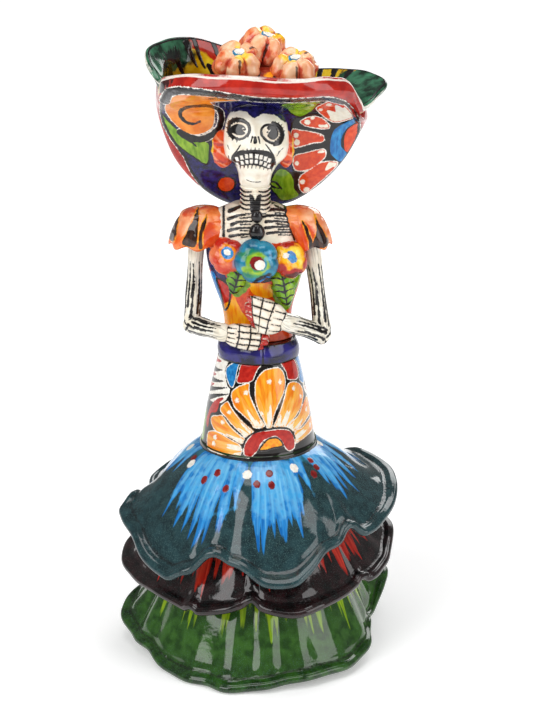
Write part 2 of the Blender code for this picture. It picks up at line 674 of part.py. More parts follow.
    hat_blossoms = []
    for name, x, y, over_head, facing in (
        ("hat_blossom_left", -11.5, -8, 23.5, (-0.15, -0.45, 0.9)),
        ("hat_blossom_right", 21.0, -8, 19.5, (0.15, -0.35, 0.9)),
        ("hat_blossom_top", 3.0, 7, 30.0, (0.25, -0.25, 0.95)),
    ):
        centre = Vector((x * MM, y * MM, CHIN + HEAD_HEIGHT + over_head * MM))
        made = blossom(name, centre, facing, HAT_BLOSSOM_RADIUS, 6, pieces, petal)
        room = clearance_cutter(made, cutters)
        cut(made, crown_room, *hat_blossoms)
        cut(made, hat_hollow, keep_inside=True)
        hat_blossoms.append(room)
    return hat


if __name__ == "__main__":
    build()
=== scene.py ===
"""A hand-painted, glazed clay catrina figure: finished meshes, painted glazes, studio floor and lights.

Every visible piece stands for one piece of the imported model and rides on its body. Shapes are worked in
millimetres and set in metres. Painting is done the way the painter does it: each coat is a field over the
piece's surface, in millimetres from the edge of the brushwork. The glaze is laid where it is below nought.
"""

import logging
import math
from collections.abc import Callable, Sequence
from dataclasses import dataclass, field
from enum import Enum

import bpy
import numpy as np
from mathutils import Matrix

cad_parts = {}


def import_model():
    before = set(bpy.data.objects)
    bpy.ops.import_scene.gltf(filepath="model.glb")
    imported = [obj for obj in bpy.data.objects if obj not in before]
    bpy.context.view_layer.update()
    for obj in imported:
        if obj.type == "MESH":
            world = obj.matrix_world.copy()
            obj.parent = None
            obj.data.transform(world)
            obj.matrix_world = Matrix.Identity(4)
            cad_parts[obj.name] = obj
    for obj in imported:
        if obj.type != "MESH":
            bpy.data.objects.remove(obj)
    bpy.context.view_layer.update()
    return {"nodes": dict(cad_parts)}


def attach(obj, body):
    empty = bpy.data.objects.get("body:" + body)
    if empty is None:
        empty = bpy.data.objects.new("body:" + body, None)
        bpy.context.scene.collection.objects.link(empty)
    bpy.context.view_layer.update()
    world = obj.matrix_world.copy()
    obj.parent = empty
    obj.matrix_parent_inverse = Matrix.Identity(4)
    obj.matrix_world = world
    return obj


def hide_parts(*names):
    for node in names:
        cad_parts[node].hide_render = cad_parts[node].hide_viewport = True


LOG = logging.getLogger("catrina")
MM = 0.001
Points = np.ndarray
Field = np.ndarray
Outline = Sequence[tuple[float, float]]
FAR = 60.0
REACH = 8.0
CHIN = 289.4
TAU = 2 * math.pi


# ---------------------------------------------------------------- brushwork on the surface


def smooth_path(points: Outline, closed: bool, steps: int = 5) -> Points:
    """Rounds a drawn path off between its points.

    Args:
        points: corners of the path, in millimetres.
        closed: whether the last point joins the first.
        steps: pieces in each stretch.

    Returns:
        The rounded path.
    """
    p = np.array(points, float)
    count = len(p)
    stretches = count if closed else count - 1
    out = []
    for i in range(stretches):
        if closed:
            a, b, c, d = (p[(i + k) % count] for k in (-1, 0, 1, 2))
        else:
            a, b, c, d = (p[min(max(i + k, 0), count - 1)] for k in (-1, 0, 1, 2))
        for s in range(steps):
            t = s / steps
            out.append(
                0.5 * (2 * b + (c - a) * t + (2 * a - 5 * b + 4 * c - d) * t**2
                    + (3 * b - a - 3 * c + d) * t**3)
            )
    if not closed:
        out.append(p[-1])
    return np.array(out)


def spot(u: Field, v: Field, at: tuple[float, float], across: float, high: float | None = None,
        lean: float = 0) -> Field:
    """A round or oval dab of the brush.

    Args:
        u: where each point lies across the painting.
        v: where each point lies up the painting.
        at: the dab's centre.
        across: half its width.
        high: half its height, the same as its width if left out.
        lean: how far it leans, in degrees.

    Returns:
        Distance from its edge, below nought inside.
    """
    high = across if high is None else high
    c, s = math.cos(math.radians(lean)), math.sin(math.radians(lean))
    x = (u - at[0]) * c + (v - at[1]) * s
    y = (v - at[1]) * c - (u - at[0]) * s
    return (np.hypot(x / across, y / high) - 1) * min(across, high)


def close_by(u: Field, v: Field, line: Points, margin: float) -> Field:
    """Finds the points near a path, to save working the rest out."""
    low, high = line.min(axis=0) - margin, line.max(axis=0) + margin
    return (u > low[0]) & (u < high[0]) & (v > low[1]) & (v < high[1])


def stroke(u: Field, v: Field, path: Outline, start: float, end: float | None = None, closed: bool = False
) -> Field:
    """One pull of a brush along a path, wider or finer towards its end.

    Args:
        u: where each point lies across the painting.
        v: where each point lies up the painting.
        path: points that the brush passes through.
        start: half the stroke's width where it starts.
        end: half its width where it ends, the same as the start if left out.
        closed: whether the stroke runs back to where it starts.

    Returns:
        Distance from its edge, below nought inside.
    """
    end = start if end is None else end
    line = smooth_path(path, closed) if len(path) > 2 else np.array(path, float)
    if closed:
        line = np.vstack([line, line[:1]])
    result = np.full(np.shape(u), FAR)
    near = close_by(u, v, line, start + end + REACH)
    u, v = u[near], v[near]
    best = np.full(np.shape(u), FAR)
    last = len(line) - 1
    for i in range(last):
        a, b = line[i], line[i + 1]
        run = b - a
        size = max(float(run @ run), 1e-9)
        t = np.clip(((u - a[0]) * run[0] + (v - a[1]) * run[1]) / size, 0, 1)
        away = np.hypot(u - a[0] - t * run[0], v - a[1] - t * run[1])
        best = np.minimum(best, away - (start + (end - start) * (i + t) / last))
    result[near] = best
    return result


def patch(u: Field, v: Field, outline: Outline, steps: int = 4) -> Field:
    """A filled shape inside a rounded outline.

    Args:
        u: where each point lies across the painting.
        v: where each point lies up the painting.
        outline: points round the shape.
        steps: pieces in each stretch of the outline.

    Returns:
        Distance from its edge, below nought inside.
    """
    line = smooth_path(outline, True, steps)
    result = np.full(np.shape(u), FAR)
    near = close_by(u, v, line, REACH)
    u, v = u[near], v[near]
    best = np.full(np.shape(u), 1e6)
    inside = np.zeros(np.shape(u), bool)
    for i in range(len(line)):
        a, b = line[i], line[(i + 1) % len(line)]
        run = b - a
        size = max(float(run @ run), 1e-9)
        t = np.clip(((u - a[0]) * run[0] + (v - a[1]) * run[1]) / size, 0, 1)
        best = np.minimum(best, (u - a[0] - t * run[0]) ** 2 + (v - a[1] - t * run[1]) ** 2)
        if abs(run[1]) > 1e-9:
            crosses = ((a[1] > v) != (b[1] > v)) & (u < a[0] + (v - a[1]) * run[0] / run[1])
            inside ^= crosses
    best = np.sqrt(best)
    result[near] = np.where(inside, -best, best)
    return result


def join(*fields: Field) -> Field:
    """Lays several shapes of one colour as one coat."""
    return np.minimum.reduce(fields)


def within(*fields: Field) -> Field:
    """Keeps a shape only where all of these shapes are."""
    return np.maximum.reduce(fields)


def ease(value: Field, low: float, high: float) -> Field:
    """Runs smoothly from 0 at low to 1 at high."""
    t = np.clip((value - low) / (high - low), 0, 1)
    return t * t * (3 - 2 * t)


def hill(distance: Field, width: float) -> Field:
    """A smooth bump, 1 at nought and fading over a width."""
    return np.exp(-((distance / width) ** 2))


def table(at: Field, rows: Sequence[tuple[float, ...]], column: int) -> Field:
    """Reads a smooth profile.

    Args:
        at: where to read it.
        rows: the profile's rows, each starting with its place, in rising order.
        column: which number of each row to read.

    Returns:
        The profile's value at each place.
    """
    rows_ = np.array(rows, float)
    x, y = rows_[:, 0], rows_[:, column]
    slopes = np.gradient(y, x)
    i = np.clip(np.searchsorted(x, at, side="right") - 1, 0, len(x) - 2)
    h = x[i + 1] - x[i]
    t = np.clip((at - x[i]) / h, 0, 1)
    return ((2 * t**3 - 3 * t**2 + 1) * y[i] + (t**3 - 2 * t**2 + t) * h * slopes[i]
        + (3 * t**2 - 2 * t**3) * y[i + 1] + (t**3 - t**2) * h * slopes[i + 1])


def round_table(angle: Field, rows: Sequence[tuple[float, ...]], column: int) -> Field:
    """Reads a profile that goes once round, by angle in degrees.

    Args:
        angle: angles to read it at.
        rows: rows that start with their angle, in rising order, within one turn.
        column: which number of each row to read.

    Returns:
        The profile's value at each angle.
    """
    first = [tuple([r[0] - 360, *r[1:]]) for r in rows[-3:]]
    again = [tuple([r[0] + 360, *r[1:]]) for r in rows[:3]]
    turned = (angle - rows[0][0]) % 360 + rows[0][0]
    return table(turned, [*first, *rows, *again], column)


# ---------------------------------------------------------------- glazes


class Brush(Enum):
    """How a coat's edge and body break up."""

    FINE = "fine"
    LOADED = "loaded"
    BLOTCH = "blotch"
    STREAK = "streak"


def linear(code: str) -> tuple[float, float, float, float]:
    """Turns a six-digit colour code into the shader's linear colour."""
    parts = [int(code[i : i + 2], 16) / 255 for i in (0, 2, 4)]
    r, g, b = (p / 12.92 if p <= 0.04045 else ((p + 0.055) / 1.055) ** 2.4 for p in parts)
    return (r, g, b, 1.0)


@dataclass(frozen=True)
class Glaze:
    """One pot of glaze: the colour it lies in, the colour it breaks to, and how thick it stands."""

    name: str
    colour: str
    breaks_to: str
    raised: float = 0.05


NAVY = Glaze("navy", "14122E", "2A2670")
INK = Glaze("ink", "0C0A0A", "242022", 0.22)
# Near-black whose grey breaks are a painted reflection, used on the hat's top line.
SLATE = Glaze("slate", "16161A", "5A5A5E", 0.2)
ORANGE = Glaze("orange", "E8760E", "F3AE2A")
AMBER = Glaze("amber", "EC7C0C", "F5B418")
VERMILION = Glaze("vermilion", "CC360C", "E0501C")
RED = Glaze("red", "A3150D", "C22A1C")
BRICK = Glaze("brick", "9C1F17", "C4382C")
CREAM = Glaze("cream", "E9E0CB", "F5F0E2")
CHALK = Glaze("chalk", "E6DFD2", "FBF8F0", 0.3)
BLUE = Glaze("blue", "0F62A6", "2C92CF")
LEAF = Glaze("leaf", "5E8A0C", "8DB32A")
OCHRE = Glaze("ochre", "C99A08", "EBCB2E")
TEAL = Glaze("teal", "172B30", "233E43")
LAGOON = Glaze("lagoon", "155E7C", "2E8CA0")
SKY = Glaze("sky", "0F62AC", "3496DC")
ICE = Glaze("ice", "4CB0E6", "9ADBF2")
OXBLOOD = Glaze("oxblood", "120A0B", "2E1A1C")
SCARLET = Glaze("scarlet", "A81B14", "DC4530")
MOSS = Glaze("moss", "18300E", "30581C")
LIME = Glaze("lime", "7FA80E", "B7D332")
GARNET = Glaze("garnet", "6A0F10", "8C1E1C", 0.3)
TANGERINE = Glaze("tangerine", "E0581A", "F08C4A")
UMBER = Glaze("umber", "1C100C", "4A2C20")
PEACH = Glaze("peach", "F0A070", "F6C8A0")
ROSE = Glaze("rose", "C9432E", "DE6A4C")
YELLOW = Glaze("yellow", "F0B818", "F8DC50")
JADE = Glaze("jade", "1B7A58", "58A63C")
PETROL = Glaze("petrol", "0E5A82", "2C8DB4")
BISQUE = Glaze("bisque", "B98A66", "D2AC88", 0.0)


@dataclass
class Coat:
    """One coat on a piece: a glaze and the field that says where it lies."""

    glaze: Glaze
    where: Field
    wobble: float = 0.5
    soft: float = 0.25
    brush: Brush = Brush.FINE
    cover: float = 1.0


@dataclass
class PaintedFinish:
    """The fired finish of one piece: a ground glaze and the coats over it, under a clear gloss."""

    name: str
    ground: Glaze
    coats: list[Coat] = field(default_factory=list)
    roughness: float = 0.07
    speckle: float = 0.0
    unevenness: float = 0.12

    def _noise(self, tree: bpy.types.NodeTree, vector: bpy.types.NodeSocket, scale: float, detail: float
    ) -> bpy.types.NodeSocket:
        """Adds one noise.

        Args:
            tree: the material's nodes.
            vector: what the noise is read on.
            scale: how fine it is.
            detail: how many finer layers it has.

        Returns:
            Its output, 0 to 1.
        """
        node = tree.nodes.new("ShaderNodeTexNoise")
        node.inputs["Scale"].default_value = scale
        node.inputs["Detail"].default_value = detail
        tree.links.new(vector, node.inputs["Vector"])
        return node.outputs["Fac"]

    def _map(self, tree: bpy.types.NodeTree, value: bpy.types.NodeSocket, low: float, high: float,
            to: tuple[float, float]) -> bpy.types.NodeSocket:
        """Adds a clamped range.

        Args:
            tree: the material's nodes.
            value: what goes in.
            low: the value that gives the first result.
            high: the value that gives the second.
            to: the two results.

        Returns:
            The output.
        """
        node = tree.nodes.new("ShaderNodeMapRange")
        node.inputs["From Min"].default_value, node.inputs["From Max"].default_value = low, high
        node.inputs["To Min"].default_value, node.inputs["To Max"].default_value = to
        tree.links.new(value, node.inputs["Value"])
        return node.outputs["Result"]

    def _blend(self, tree: bpy.types.NodeTree, share: bpy.types.NodeSocket, under: object, over: object
    ) -> bpy.types.NodeSocket:
        """Adds a colour mix.

        Args:
            tree: the material's nodes.
            share: how much of the upper colour shows.
            under: the lower colour, a socket or four numbers.
            over: the upper colour, a socket or four numbers.

        Returns:
            The mixed colour.
        """
        node = tree.nodes.new("ShaderNodeMix")
        node.data_type = "RGBA"
        tree.links.new(share, node.inputs["Factor"])
        for socket, colour in ((node.inputs[6], under), (node.inputs[7], over)):
            if isinstance(colour, bpy.types.NodeSocket):
                tree.links.new(colour, socket)
            else:
                socket.default_value = colour
        return node.outputs[2]

    def _math(self, tree: bpy.types.NodeTree, kind: str, *values: object) -> bpy.types.NodeSocket:
        """Adds a sum.

        Args:
            tree: the material's nodes.
            kind: the operation.
            values: sockets or numbers that go in.

        Returns:
            The result.
        """
        node = tree.nodes.new("ShaderNodeMath")
        node.operation = kind
        for socket, value in zip(node.inputs, values):
            if isinstance(value, bpy.types.NodeSocket):
                tree.links.new(value, socket)
            else:
                socket.default_value = value
        return node.outputs[0]

    def material(self) -> bpy.types.Material:
        """Builds the glazed material.

        Returns:
            A material that reads the piece's own coat fields and Object coordinates.
        """
        made = bpy.data.materials.new(self.name)
        made.use_nodes = True
        tree = made.node_tree
        shader = tree.nodes["Principled BSDF"]
        place = tree.nodes.new("ShaderNodeTexCoord").outputs["Object"]
        flow = tree.nodes.new("ShaderNodeAttribute")
        flow.attribute_name = "flow"
        noises = {Brush.FINE: self._noise(tree, place, 900, 3),
            Brush.LOADED: self._noise(tree, place, 420, 3), Brush.BLOTCH: self._noise(tree, place, 150, 4),
            Brush.STREAK: self._noise(tree, flow.outputs["Vector"], 0.55, 3)}
        tone = {Brush.FINE: self._map(tree, noises[Brush.LOADED], 0.35, 0.7, (0, 1)),
            Brush.LOADED: self._map(tree, noises[Brush.LOADED], 0.35, 0.68, (0, 1)),
            Brush.BLOTCH: self._map(tree, noises[Brush.BLOTCH], 0.38, 0.62, (0, 1)),
            Brush.STREAK: self._map(tree, noises[Brush.STREAK], 0.36, 0.66, (0, 1))}
        colour = self._blend(tree, tone[Brush.BLOTCH], linear(self.ground.colour),
            linear(self.ground.breaks_to))
        if self.speckle:
            grains = self._map(tree, self._noise(tree, place, 2200, 1), 0.58, 0.7, (0, self.speckle))
            colour = self._blend(tree, grains, colour, linear("6E9A94"))
        height = self._map(tree, noises[Brush.BLOTCH], 0.0, 1.0, (0, self.unevenness))
        for number, coat in enumerate(self.coats):
            reading = tree.nodes.new("ShaderNodeAttribute")
            reading.attribute_name = f"coat_{number:02d}"
            ragged = self._map(tree, noises[coat.brush], 0.25, 0.75, (-coat.wobble, coat.wobble))
            edge = self._math(tree, "ADD", reading.outputs["Fac"], ragged)
            mask = self._map(tree, edge, -coat.soft / 2, coat.soft / 2, (coat.cover, 0))
            body = self._blend(tree, tone[coat.brush], linear(coat.glaze.colour),
                linear(coat.glaze.breaks_to))
            colour = self._blend(tree, mask, colour, body)
            if coat.glaze.raised:
                lift = self._map(tree, edge, -0.7, 0.15, (coat.glaze.raised, 0))
                height = self._math(tree, "ADD", height, lift)
        tree.links.new(colour, shader.inputs["Base Color"])
        bump = tree.nodes.new("ShaderNodeBump")
        bump.inputs["Distance"].default_value = MM
        bump.inputs["Strength"].default_value = 0.55
        tree.links.new(height, bump.inputs["Height"])
        tree.links.new(bump.outputs["Normal"], shader.inputs["Normal"])
        shader.inputs["Roughness"].default_value = self.roughness
        shader.inputs["IOR"].default_value = 1.45
        shader.inputs["Coat Weight"].default_value = 0.2
        shader.inputs["Coat Roughness"].default_value = 0.03
        return made


# ---------------------------------------------------------------- clay blanks


@dataclass
class Blank:
    """A primitive of clay before shaping, with where each of its points lies on it.

    turn is the angle round from the front towards the right, in radians. share runs 0 to 1 from the bottom
    pole to the top one, or for a ring the angle round its section, 0 at its outside and positive on top.
    """

    piece: bpy.types.Object
    turn: Field
    share: Field

    def poles(self) -> tuple[Field, Field]:
        """Gives a ball's points their height, -1 to 1, and their distance from its axis, 0 to 1."""
        return -np.cos(self.share * math.pi), np.sin(self.share * math.pi)


def _read(piece: bpy.types.Object) -> Points:
    """Reads a piece's points."""
    flat = np.empty(len(piece.data.vertices) * 3)
    piece.data.vertices.foreach_get("co", flat)
    return flat.reshape(-1, 3)


def ball_blank(name: str, around: int, along: int) -> Blank:
    """Adds a ball to be shaped.

    Args:
        name: the piece's name.
        around: steps round it.
        along: steps from pole to pole.

    Returns:
        The blank.
    """
    bpy.ops.object.select_all(action="DESELECT")
    bpy.ops.mesh.primitive_uv_sphere_add(segments=around, ring_count=along, radius=1.0)
    piece = bpy.context.object
    piece.name = piece.data.name = name
    p = _read(piece)
    return Blank(piece, np.arctan2(p[:, 0], -p[:, 1]), np.arccos(np.clip(-p[:, 2], -1, 1)) / math.pi)


def ring_blank(name: str, around: int, along: int) -> Blank:
    """Adds a ring to be shaped.

    Args:
        name: the piece's name.
        around: steps round it.
        along: steps round its section.

    Returns:
        The blank.
    """
    bpy.ops.object.select_all(action="DESELECT")
    bpy.ops.mesh.primitive_torus_add(major_segments=around, minor_segments=along, major_radius=2,
        minor_radius=1)
    piece = bpy.context.object
    piece.name = piece.data.name = name
    p = _read(piece)
    return Blank(piece, np.arctan2(p[:, 0], -p[:, 1]), np.arctan2(p[:, 2], np.hypot(p[:, 0], p[:, 1]) - 2))


def turned_piece(name: str, profile: Sequence[tuple[float, float]], steps: int = 128) -> bpy.types.Object:
    """Throws a closed profile on the wheel.

    Args:
        name: the piece's name.
        profile: radius and height of each corner, in millimetres, down the outside and up the inside.
        steps: steps round.

    Returns:
        The turned piece, its edges rounded.
    """
    bpy.ops.object.select_all(action="DESELECT")
    bpy.ops.mesh.primitive_circle_add(vertices=len(profile), radius=MM)
    piece = bpy.context.object
    piece.name = piece.data.name = name
    piece.data.vertices.foreach_set("co", np.array([(r * MM, 0, z * MM) for r, z in profile]).ravel())
    bpy.ops.object.mode_set(mode="EDIT")
    bpy.ops.mesh.select_all(action="SELECT")
    bpy.ops.mesh.spin(steps=steps, angle=TAU, center=(0, 0, 0), axis=(0, 0, 1))
    bpy.ops.mesh.select_all(action="SELECT")
    bpy.ops.mesh.remove_doubles(threshold=0.00001)
    bpy.ops.mesh.normals_make_consistent(inside=False)
    bpy.ops.object.mode_set(mode="OBJECT")
    return piece


def write_points(piece: bpy.types.Object, points: Points) -> None:
    """Moves a piece's points to where they are in millimetres."""
    piece.data.vertices.foreach_set("co", (points * MM).ravel())
    piece.data.update()


def store(piece: bpy.types.Object, name: str, values: Field) -> None:
    """Keeps one number for each point of a piece."""
    kept = piece.data.attributes.new(name, "FLOAT", "POINT")
    kept.data.foreach_set("value", np.ascontiguousarray(values, np.float32))


def store_flow(piece: bpy.types.Object, flow: Points) -> None:
    """Keeps the direction that the brush ran in, as a place in a stretched space."""
    kept = piece.data.attributes.new("flow", "FLOAT_VECTOR", "POINT")
    kept.data.foreach_set("vector", np.ascontiguousarray(flow, np.float32).ravel())


def fire(piece: bpy.types.Object, node: str, finish: PaintedFinish, flow: Points | None = None) -> None:
    """Fires a shaped piece: sets its glaze, its place in the model and its shading.

    Args:
        piece: the shaped piece.
        node: the model's node that it stands for.
        finish: its painted finish.
        flow: the brush's run at each point, if the finish streaks.
    """
    for number, coat in enumerate(finish.coats):
        store(piece, f"coat_{number:02d}", np.clip(coat.where, -FAR, FAR))
    if flow is not None:
        store_flow(piece, flow)
    bpy.ops.object.select_all(action="DESELECT")
    piece.select_set(True)
    bpy.context.view_layer.objects.active = piece
    bpy.ops.object.mode_set(mode="EDIT")
    bpy.ops.mesh.select_all(action="SELECT")
    bpy.ops.mesh.normals_make_consistent(inside=False)
    bpy.ops.object.mode_set(mode="OBJECT")
    bpy.ops.object.shade_smooth()
    piece.data.materials.clear()
    piece.data.materials.append(finish.material())
    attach(piece, "root")
    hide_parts(node)
    LOG.info("%s: %d faces, %d coats", piece.name, len(piece.data.polygons), len(finish.coats))


def ripple(turn: Field, waves: Sequence[tuple[int, float, float]]) -> Field:
    """The slight unevenness of work done by hand.

    Args:
        turn: angle round the piece, in radians.
        waves: how many times round, how high in millimetres, and where each wave starts.

    Returns:
        The sum of the waves.
    """
    return sum(size * np.sin(times * turn + start) for times, size, start in waves)


# ---------------------------------------------------------------- the hat

NEVER = FAR


def front_only(turned_front: Field, value: Field) -> Field:
    """Keeps a field on the marked points and clears it elsewhere."""
    return np.where(turned_front, value, NEVER)


@dataclass
class Hat:
    """The wide dished hat: brim with pinched-up wings, the dome inside it and its three blossoms."""

    around: int = 400
    along: int = 244
    centre_y: float = 8.0
    wall: float = 4.0
    outside_share: float = 0.56
    lip_share: float = 0.63
    squareness: float = 2.5
    lip: Sequence[tuple[float, float, float]] = ((0, -37, 70), (25, -34, 68.5), (43, -24, 68.5),
        (54, -14, 63), (60, -7, 51), (63, 0, 46), (70, 6, 52), (75, 14, 56), (68, 29, 60), (51, 42, 61),
        (30, 51, 60), (5, 55, 64), (-20, 53, 73), (-42, 44, 80.5), (-58, 28, 80.5), (-66, 13, 75.5),
        (-64, 4, 69), (-58, -3, 63), (-55, -12, 66), (-43, -23, 70), (-22, -34, 71))
    rings: Sequence[tuple[float, ...]] = ((-15, 15, 5.5, 8, 23), (-11, 26, 7.5, 12, 23),
        (-1, 39, 10, 17, 22.5), (13, 50, 13, 22, 22), (30, 57, 15.5, 27, 21.5), (45, 60.5, 21, 31, 20),
        (55, 60, 35, 37, 12), (62, 58.5, 45, 42, 8.5))

    right_swell: Sequence[float] = (0, 0, 0.5, 2.0, 4.5, 4.5, 3.0, 1.0)

    def ring_point(self, number: int, turn: Field, lip_high: Field) -> Points:
        """Where one ring of the dish passes at each angle.

        Args:
            number: which ring, from the bottom.
            turn: angle round the hat.
            lip_high: the lip's height over the chin at each angle.

        Returns:
            Points in millimetres.
        """
        high, wide, front, back, middle = self.rings[number]
        deep = np.where(np.cos(turn) > 0, front, back)
        wide = wide + self.right_swell[number] * (np.sin(turn) > 0)
        power = self.squareness
        size = (np.abs(np.sin(turn) / wide) ** power + np.abs(np.cos(turn) / deep) ** power) ** (-1 / power)
        rise = high + max(high - 30, 0) / 40 * (lip_high - 70)
        return np.stack([size * np.sin(turn), middle - size * np.cos(turn), rise + CHIN], -1)

    def outside(self, turn: Field, rise: Field) -> Points:
        """The outside of the dish.

        Args:
            turn: angle round the hat.
            rise: 0 at the bottom of the dish, 1 at the lip.

        Returns:
            Points in millimetres.
        """
        rows = []
        for x, y, z in self.lip:
            rows.append((math.degrees(math.atan2(x, self.centre_y - y)), math.hypot(x, y - self.centre_y), z))
        rows.sort()
        degrees = np.degrees(turn)
        reach, high = round_table(degrees, rows, 1), round_table(degrees, rows, 2)
        edge = np.stack([reach * np.sin(turn), self.centre_y - reach * np.cos(turn), high + CHIN], -1)
        middle = np.zeros((len(turn), 3)) + (0, self.rings[0][4], CHIN + self.rings[0][0])
        stops = [middle] + [self.ring_point(k, turn, high) for k in range(len(self.rings))] + [edge]
        stack = np.array(stops)
        last = len(stops) - 1
        step = np.clip(np.floor(rise * last).astype(int), 0, last - 1)
        t = (rise * last - step)[:, None]
        rank = np.arange(len(turn))
        a, b, c, d = (stack[np.clip(step + k, 0, last), rank] for k in (-1, 0, 1, 2))
        return 0.5 * (2 * b + (c - a) * t + (2 * a - 5 * b + 4 * c - d) * t**2
            + (3 * b - a - 3 * c + d) * t**3)

    def even_turn(self, turn: Field) -> Field:
        """Spaces the points evenly along the squarish ring half way up."""
        fine = np.linspace(-math.pi, math.pi, 2001)
        path = self.ring_point(4, fine, np.full(len(fine), 70.0))
        run = np.concatenate([[0], np.cumsum(np.linalg.norm(np.diff(path, axis=0), axis=1))])
        return np.interp(turn, run / run[-1] * TAU - math.pi, fine)

    def _shape(self, blank: Blank) -> tuple[Points, Field, Field, Field]:
        """Wraps a ball round the dish, over its lip and down its inside.

        Args:
            blank: the ball.

        Returns:
            The points, the angle, the rise, and the share along the section.
        """
        turn = self.even_turn(blank.turn)
        share = blank.share
        up, down = self.outside_share, self.lip_share
        rise = np.where(share < up, share / up, np.where(share > down, (1 - share) / (1 - down), 1.0))
        rise = np.clip(rise, 0, 1)
        d = 0.004
        skin = self.outside(turn, rise)
        low, high = np.clip(rise - d, 0.004, 1), np.clip(np.maximum(rise, 0.004) + d, 0, 1)
        along = self.outside(turn, high) - self.outside(turn, low)
        sweep = self.outside(turn + d, np.maximum(rise, 0.02)
        ) - self.outside(turn - d, np.maximum(rise, 0.02))
        along /= np.linalg.norm(along, axis=1, keepdims=True)
        normal = np.cross(sweep, along)
        normal /= np.linalg.norm(normal, axis=1, keepdims=True)
        pole = rise < 0.012
        normal[pole] = (0, 0, -1)
        roll = np.clip((share - up) / (down - up), 0, 1) * math.pi
        half = self.wall / 2
        lift = np.sin(roll) * 1.5
        points = skin - normal * (half * (1 - np.cos(roll)))[:, None] + along * lift[:, None]
        return points, turn, rise, share

    def floor_under(self, y: Field) -> Field:
        """How high the inside of the front wall stands at each depth."""
        rows = [(middle - front, high) for high, _, front, _, middle in self.rings]
        rows.sort()
        return np.interp(y, [r[0] for r in rows], [r[1] for r in rows]) + CHIN + self.wall + 1

    def front_wall(self, x: Field, z: Field) -> Field:
        """How far forward the outside of the dish stands in front, at each width and height."""
        high = np.array([r[0] for r in self.rings]) + CHIN
        wide, front, middle = (np.interp(z, high, [r[k] for r in self.rings]) for k in (1, 2, 4))
        inset = np.clip(1 - np.abs(x / wide) ** self.squareness, 0, 1) ** (1 / self.squareness)
        return np.where(z < high[0], 60.0, middle - front * inset)

    def build_brim(self) -> None:
        """Shapes and paints the dish."""
        blank = ball_blank("painted_hat_brim", self.around, self.along)
        points, turn, rise, share = self._shape(blank)
        write_points(blank.piece, points)
        x, y, z = points.T
        outer = share < (self.outside_share + self.lip_share) / 2
        u = np.where(np.cos(turn) > 0, x, -x)
        v = z + 1.3 + 2.3 * np.clip((z - 325) / 27, 0, 1.2)
        coats = self._painting(u, v, outer, turn, rise, share)
        finish = PaintedFinish("hat_brim_glaze", Glaze("band", "981810", "B8281A"), coats)
        fire(blank.piece, "hat_brim", finish, np.stack([x, z * 0.2, y], -1))

    def _painting(
            self, u: Field, z: Field, outer: Field, turn: Field, rise: Field, share: Field) -> list[Coat]:
        """Paints the hat: swirl, leaves and half flower below the brim, ochre and dark strokes inside it.

        Args:
            u: across the painting.
            z: height.
            outer: whether a point is on the outside.
            turn: angle round the hat.
            rise: how far up the wall it is.
            share: how far along the section it is.

        Returns:
            The coats in the order that they are laid.
        """
        field_outline = ((-47.5, 355.5), (-52, 352.5), (-55, 346), (-57, 336), (-56, 327.5), (-51.5, 317.5),
            (-44, 307), (-40, 297.5), (-33.5, 287), (-26, 280.5), (-15, 275.5), (-0.5, 273), (14, 275),
            (22.5, 278.5), (32.5, 283.5), (42, 291.5), (49, 300), (54.5, 308), (59, 317.5), (59.5, 326.5),
            (55.5, 338), (48.5, 346), (39.5, 349.5), (30, 349), (15, 349.5), (0.5, 350), (-14, 352.5),
            (-28.5, 355), (-38, 355.5))
        field_ = patch(u, z, field_outline)
        disc = ((-54, 339.5), (-49, 351), (-40, 352.5), (-31.5, 351), (-26, 343), (-25.5, 333),
            (-27.5, 325), (-35, 321), (-42, 321.5), (-48.5, 326.5), (-53, 333))
        tail = ((-49, 351), (-38, 353), (-23.5, 352), (-12, 350.5), (-4, 350), (-18, 347.5), (-28.5, 346),
            (-40.5, 347.5))
        swirl = join(patch(u, z, disc), patch(u, z, tail))
        curl = ((-34, 329.5), (-37.5, 327.5), (-42, 328.5), (-45.5, 332.5), (-45, 337), (-41, 340.2),
            (-34.5, 341.6), (-28, 341.6), (-22.5, 338), (-21.5, 331.5), (-23.5, 324.5), (-30, 319),
            (-38, 318), (-46, 321.5))
        curl_line = stroke(u, z, curl, 0.8, 2.2)
        long_leaf = ((-57, 333), (-53.5, 328.5), (-47, 322), (-40, 318), (-30, 316), (-29.5, 309),
            (-31, 302.5), (-38, 307), (-45, 311.5), (-51, 317.5), (-55.5, 324))
        top_leaf = ((13.5, 344.5), (21, 347), (31, 348.5), (39.5, 349), (35, 346), (31.5, 338), (25, 333.5),
            (19.5, 336), (16.5, 341))
        low_leaf = ((7.5, 289), (11, 298), (16, 299), (20.5, 294.5), (21.5, 287), (24, 281.5), (15, 279),
            (11, 283.5))
        leaves = join(patch(u, z, long_leaf), patch(u, z, top_leaf), patch(u, z, low_leaf))
        cup = ((21.5, 332), (33, 344.5), (42.5, 351), (54, 343), (60.5, 328.5), (60.5, 317.5), (54.5, 307),
            (45, 296), (32.5, 283.5), (24.5, 280.5), (22, 289), (20.5, 298), (19, 308), (19, 324))
        petals = (
            ((33.5, 339.5), (37, 344.5), (42.5, 348), (49, 344.5), (56, 335), (55, 331.5), (46, 328),
                (39, 332)),
            ((24.5, 329.5), (28, 332.5), (34, 333.5), (39, 331), (42.5, 326.5), (41, 324), (34, 324.5),
                (27, 326.5)),
            ((19.5, 324), (26, 324), (33, 322.5), (38.5, 320.5), (39, 316), (32, 315), (25, 313),
                (20.5, 313.5)),
            ((21.5, 308), (29, 310), (39, 312), (40.5, 307), (36.5, 302.5), (30.5, 298.5), (23, 298),
                (20.5, 301.5)),
            ((25, 295), (30.5, 299), (37.5, 303.5), (46.5, 303.5), (47.5, 300), (41.5, 293.5), (35.5, 288),
                (29.5, 283), (25.5, 284.5), (24, 290)),
        )
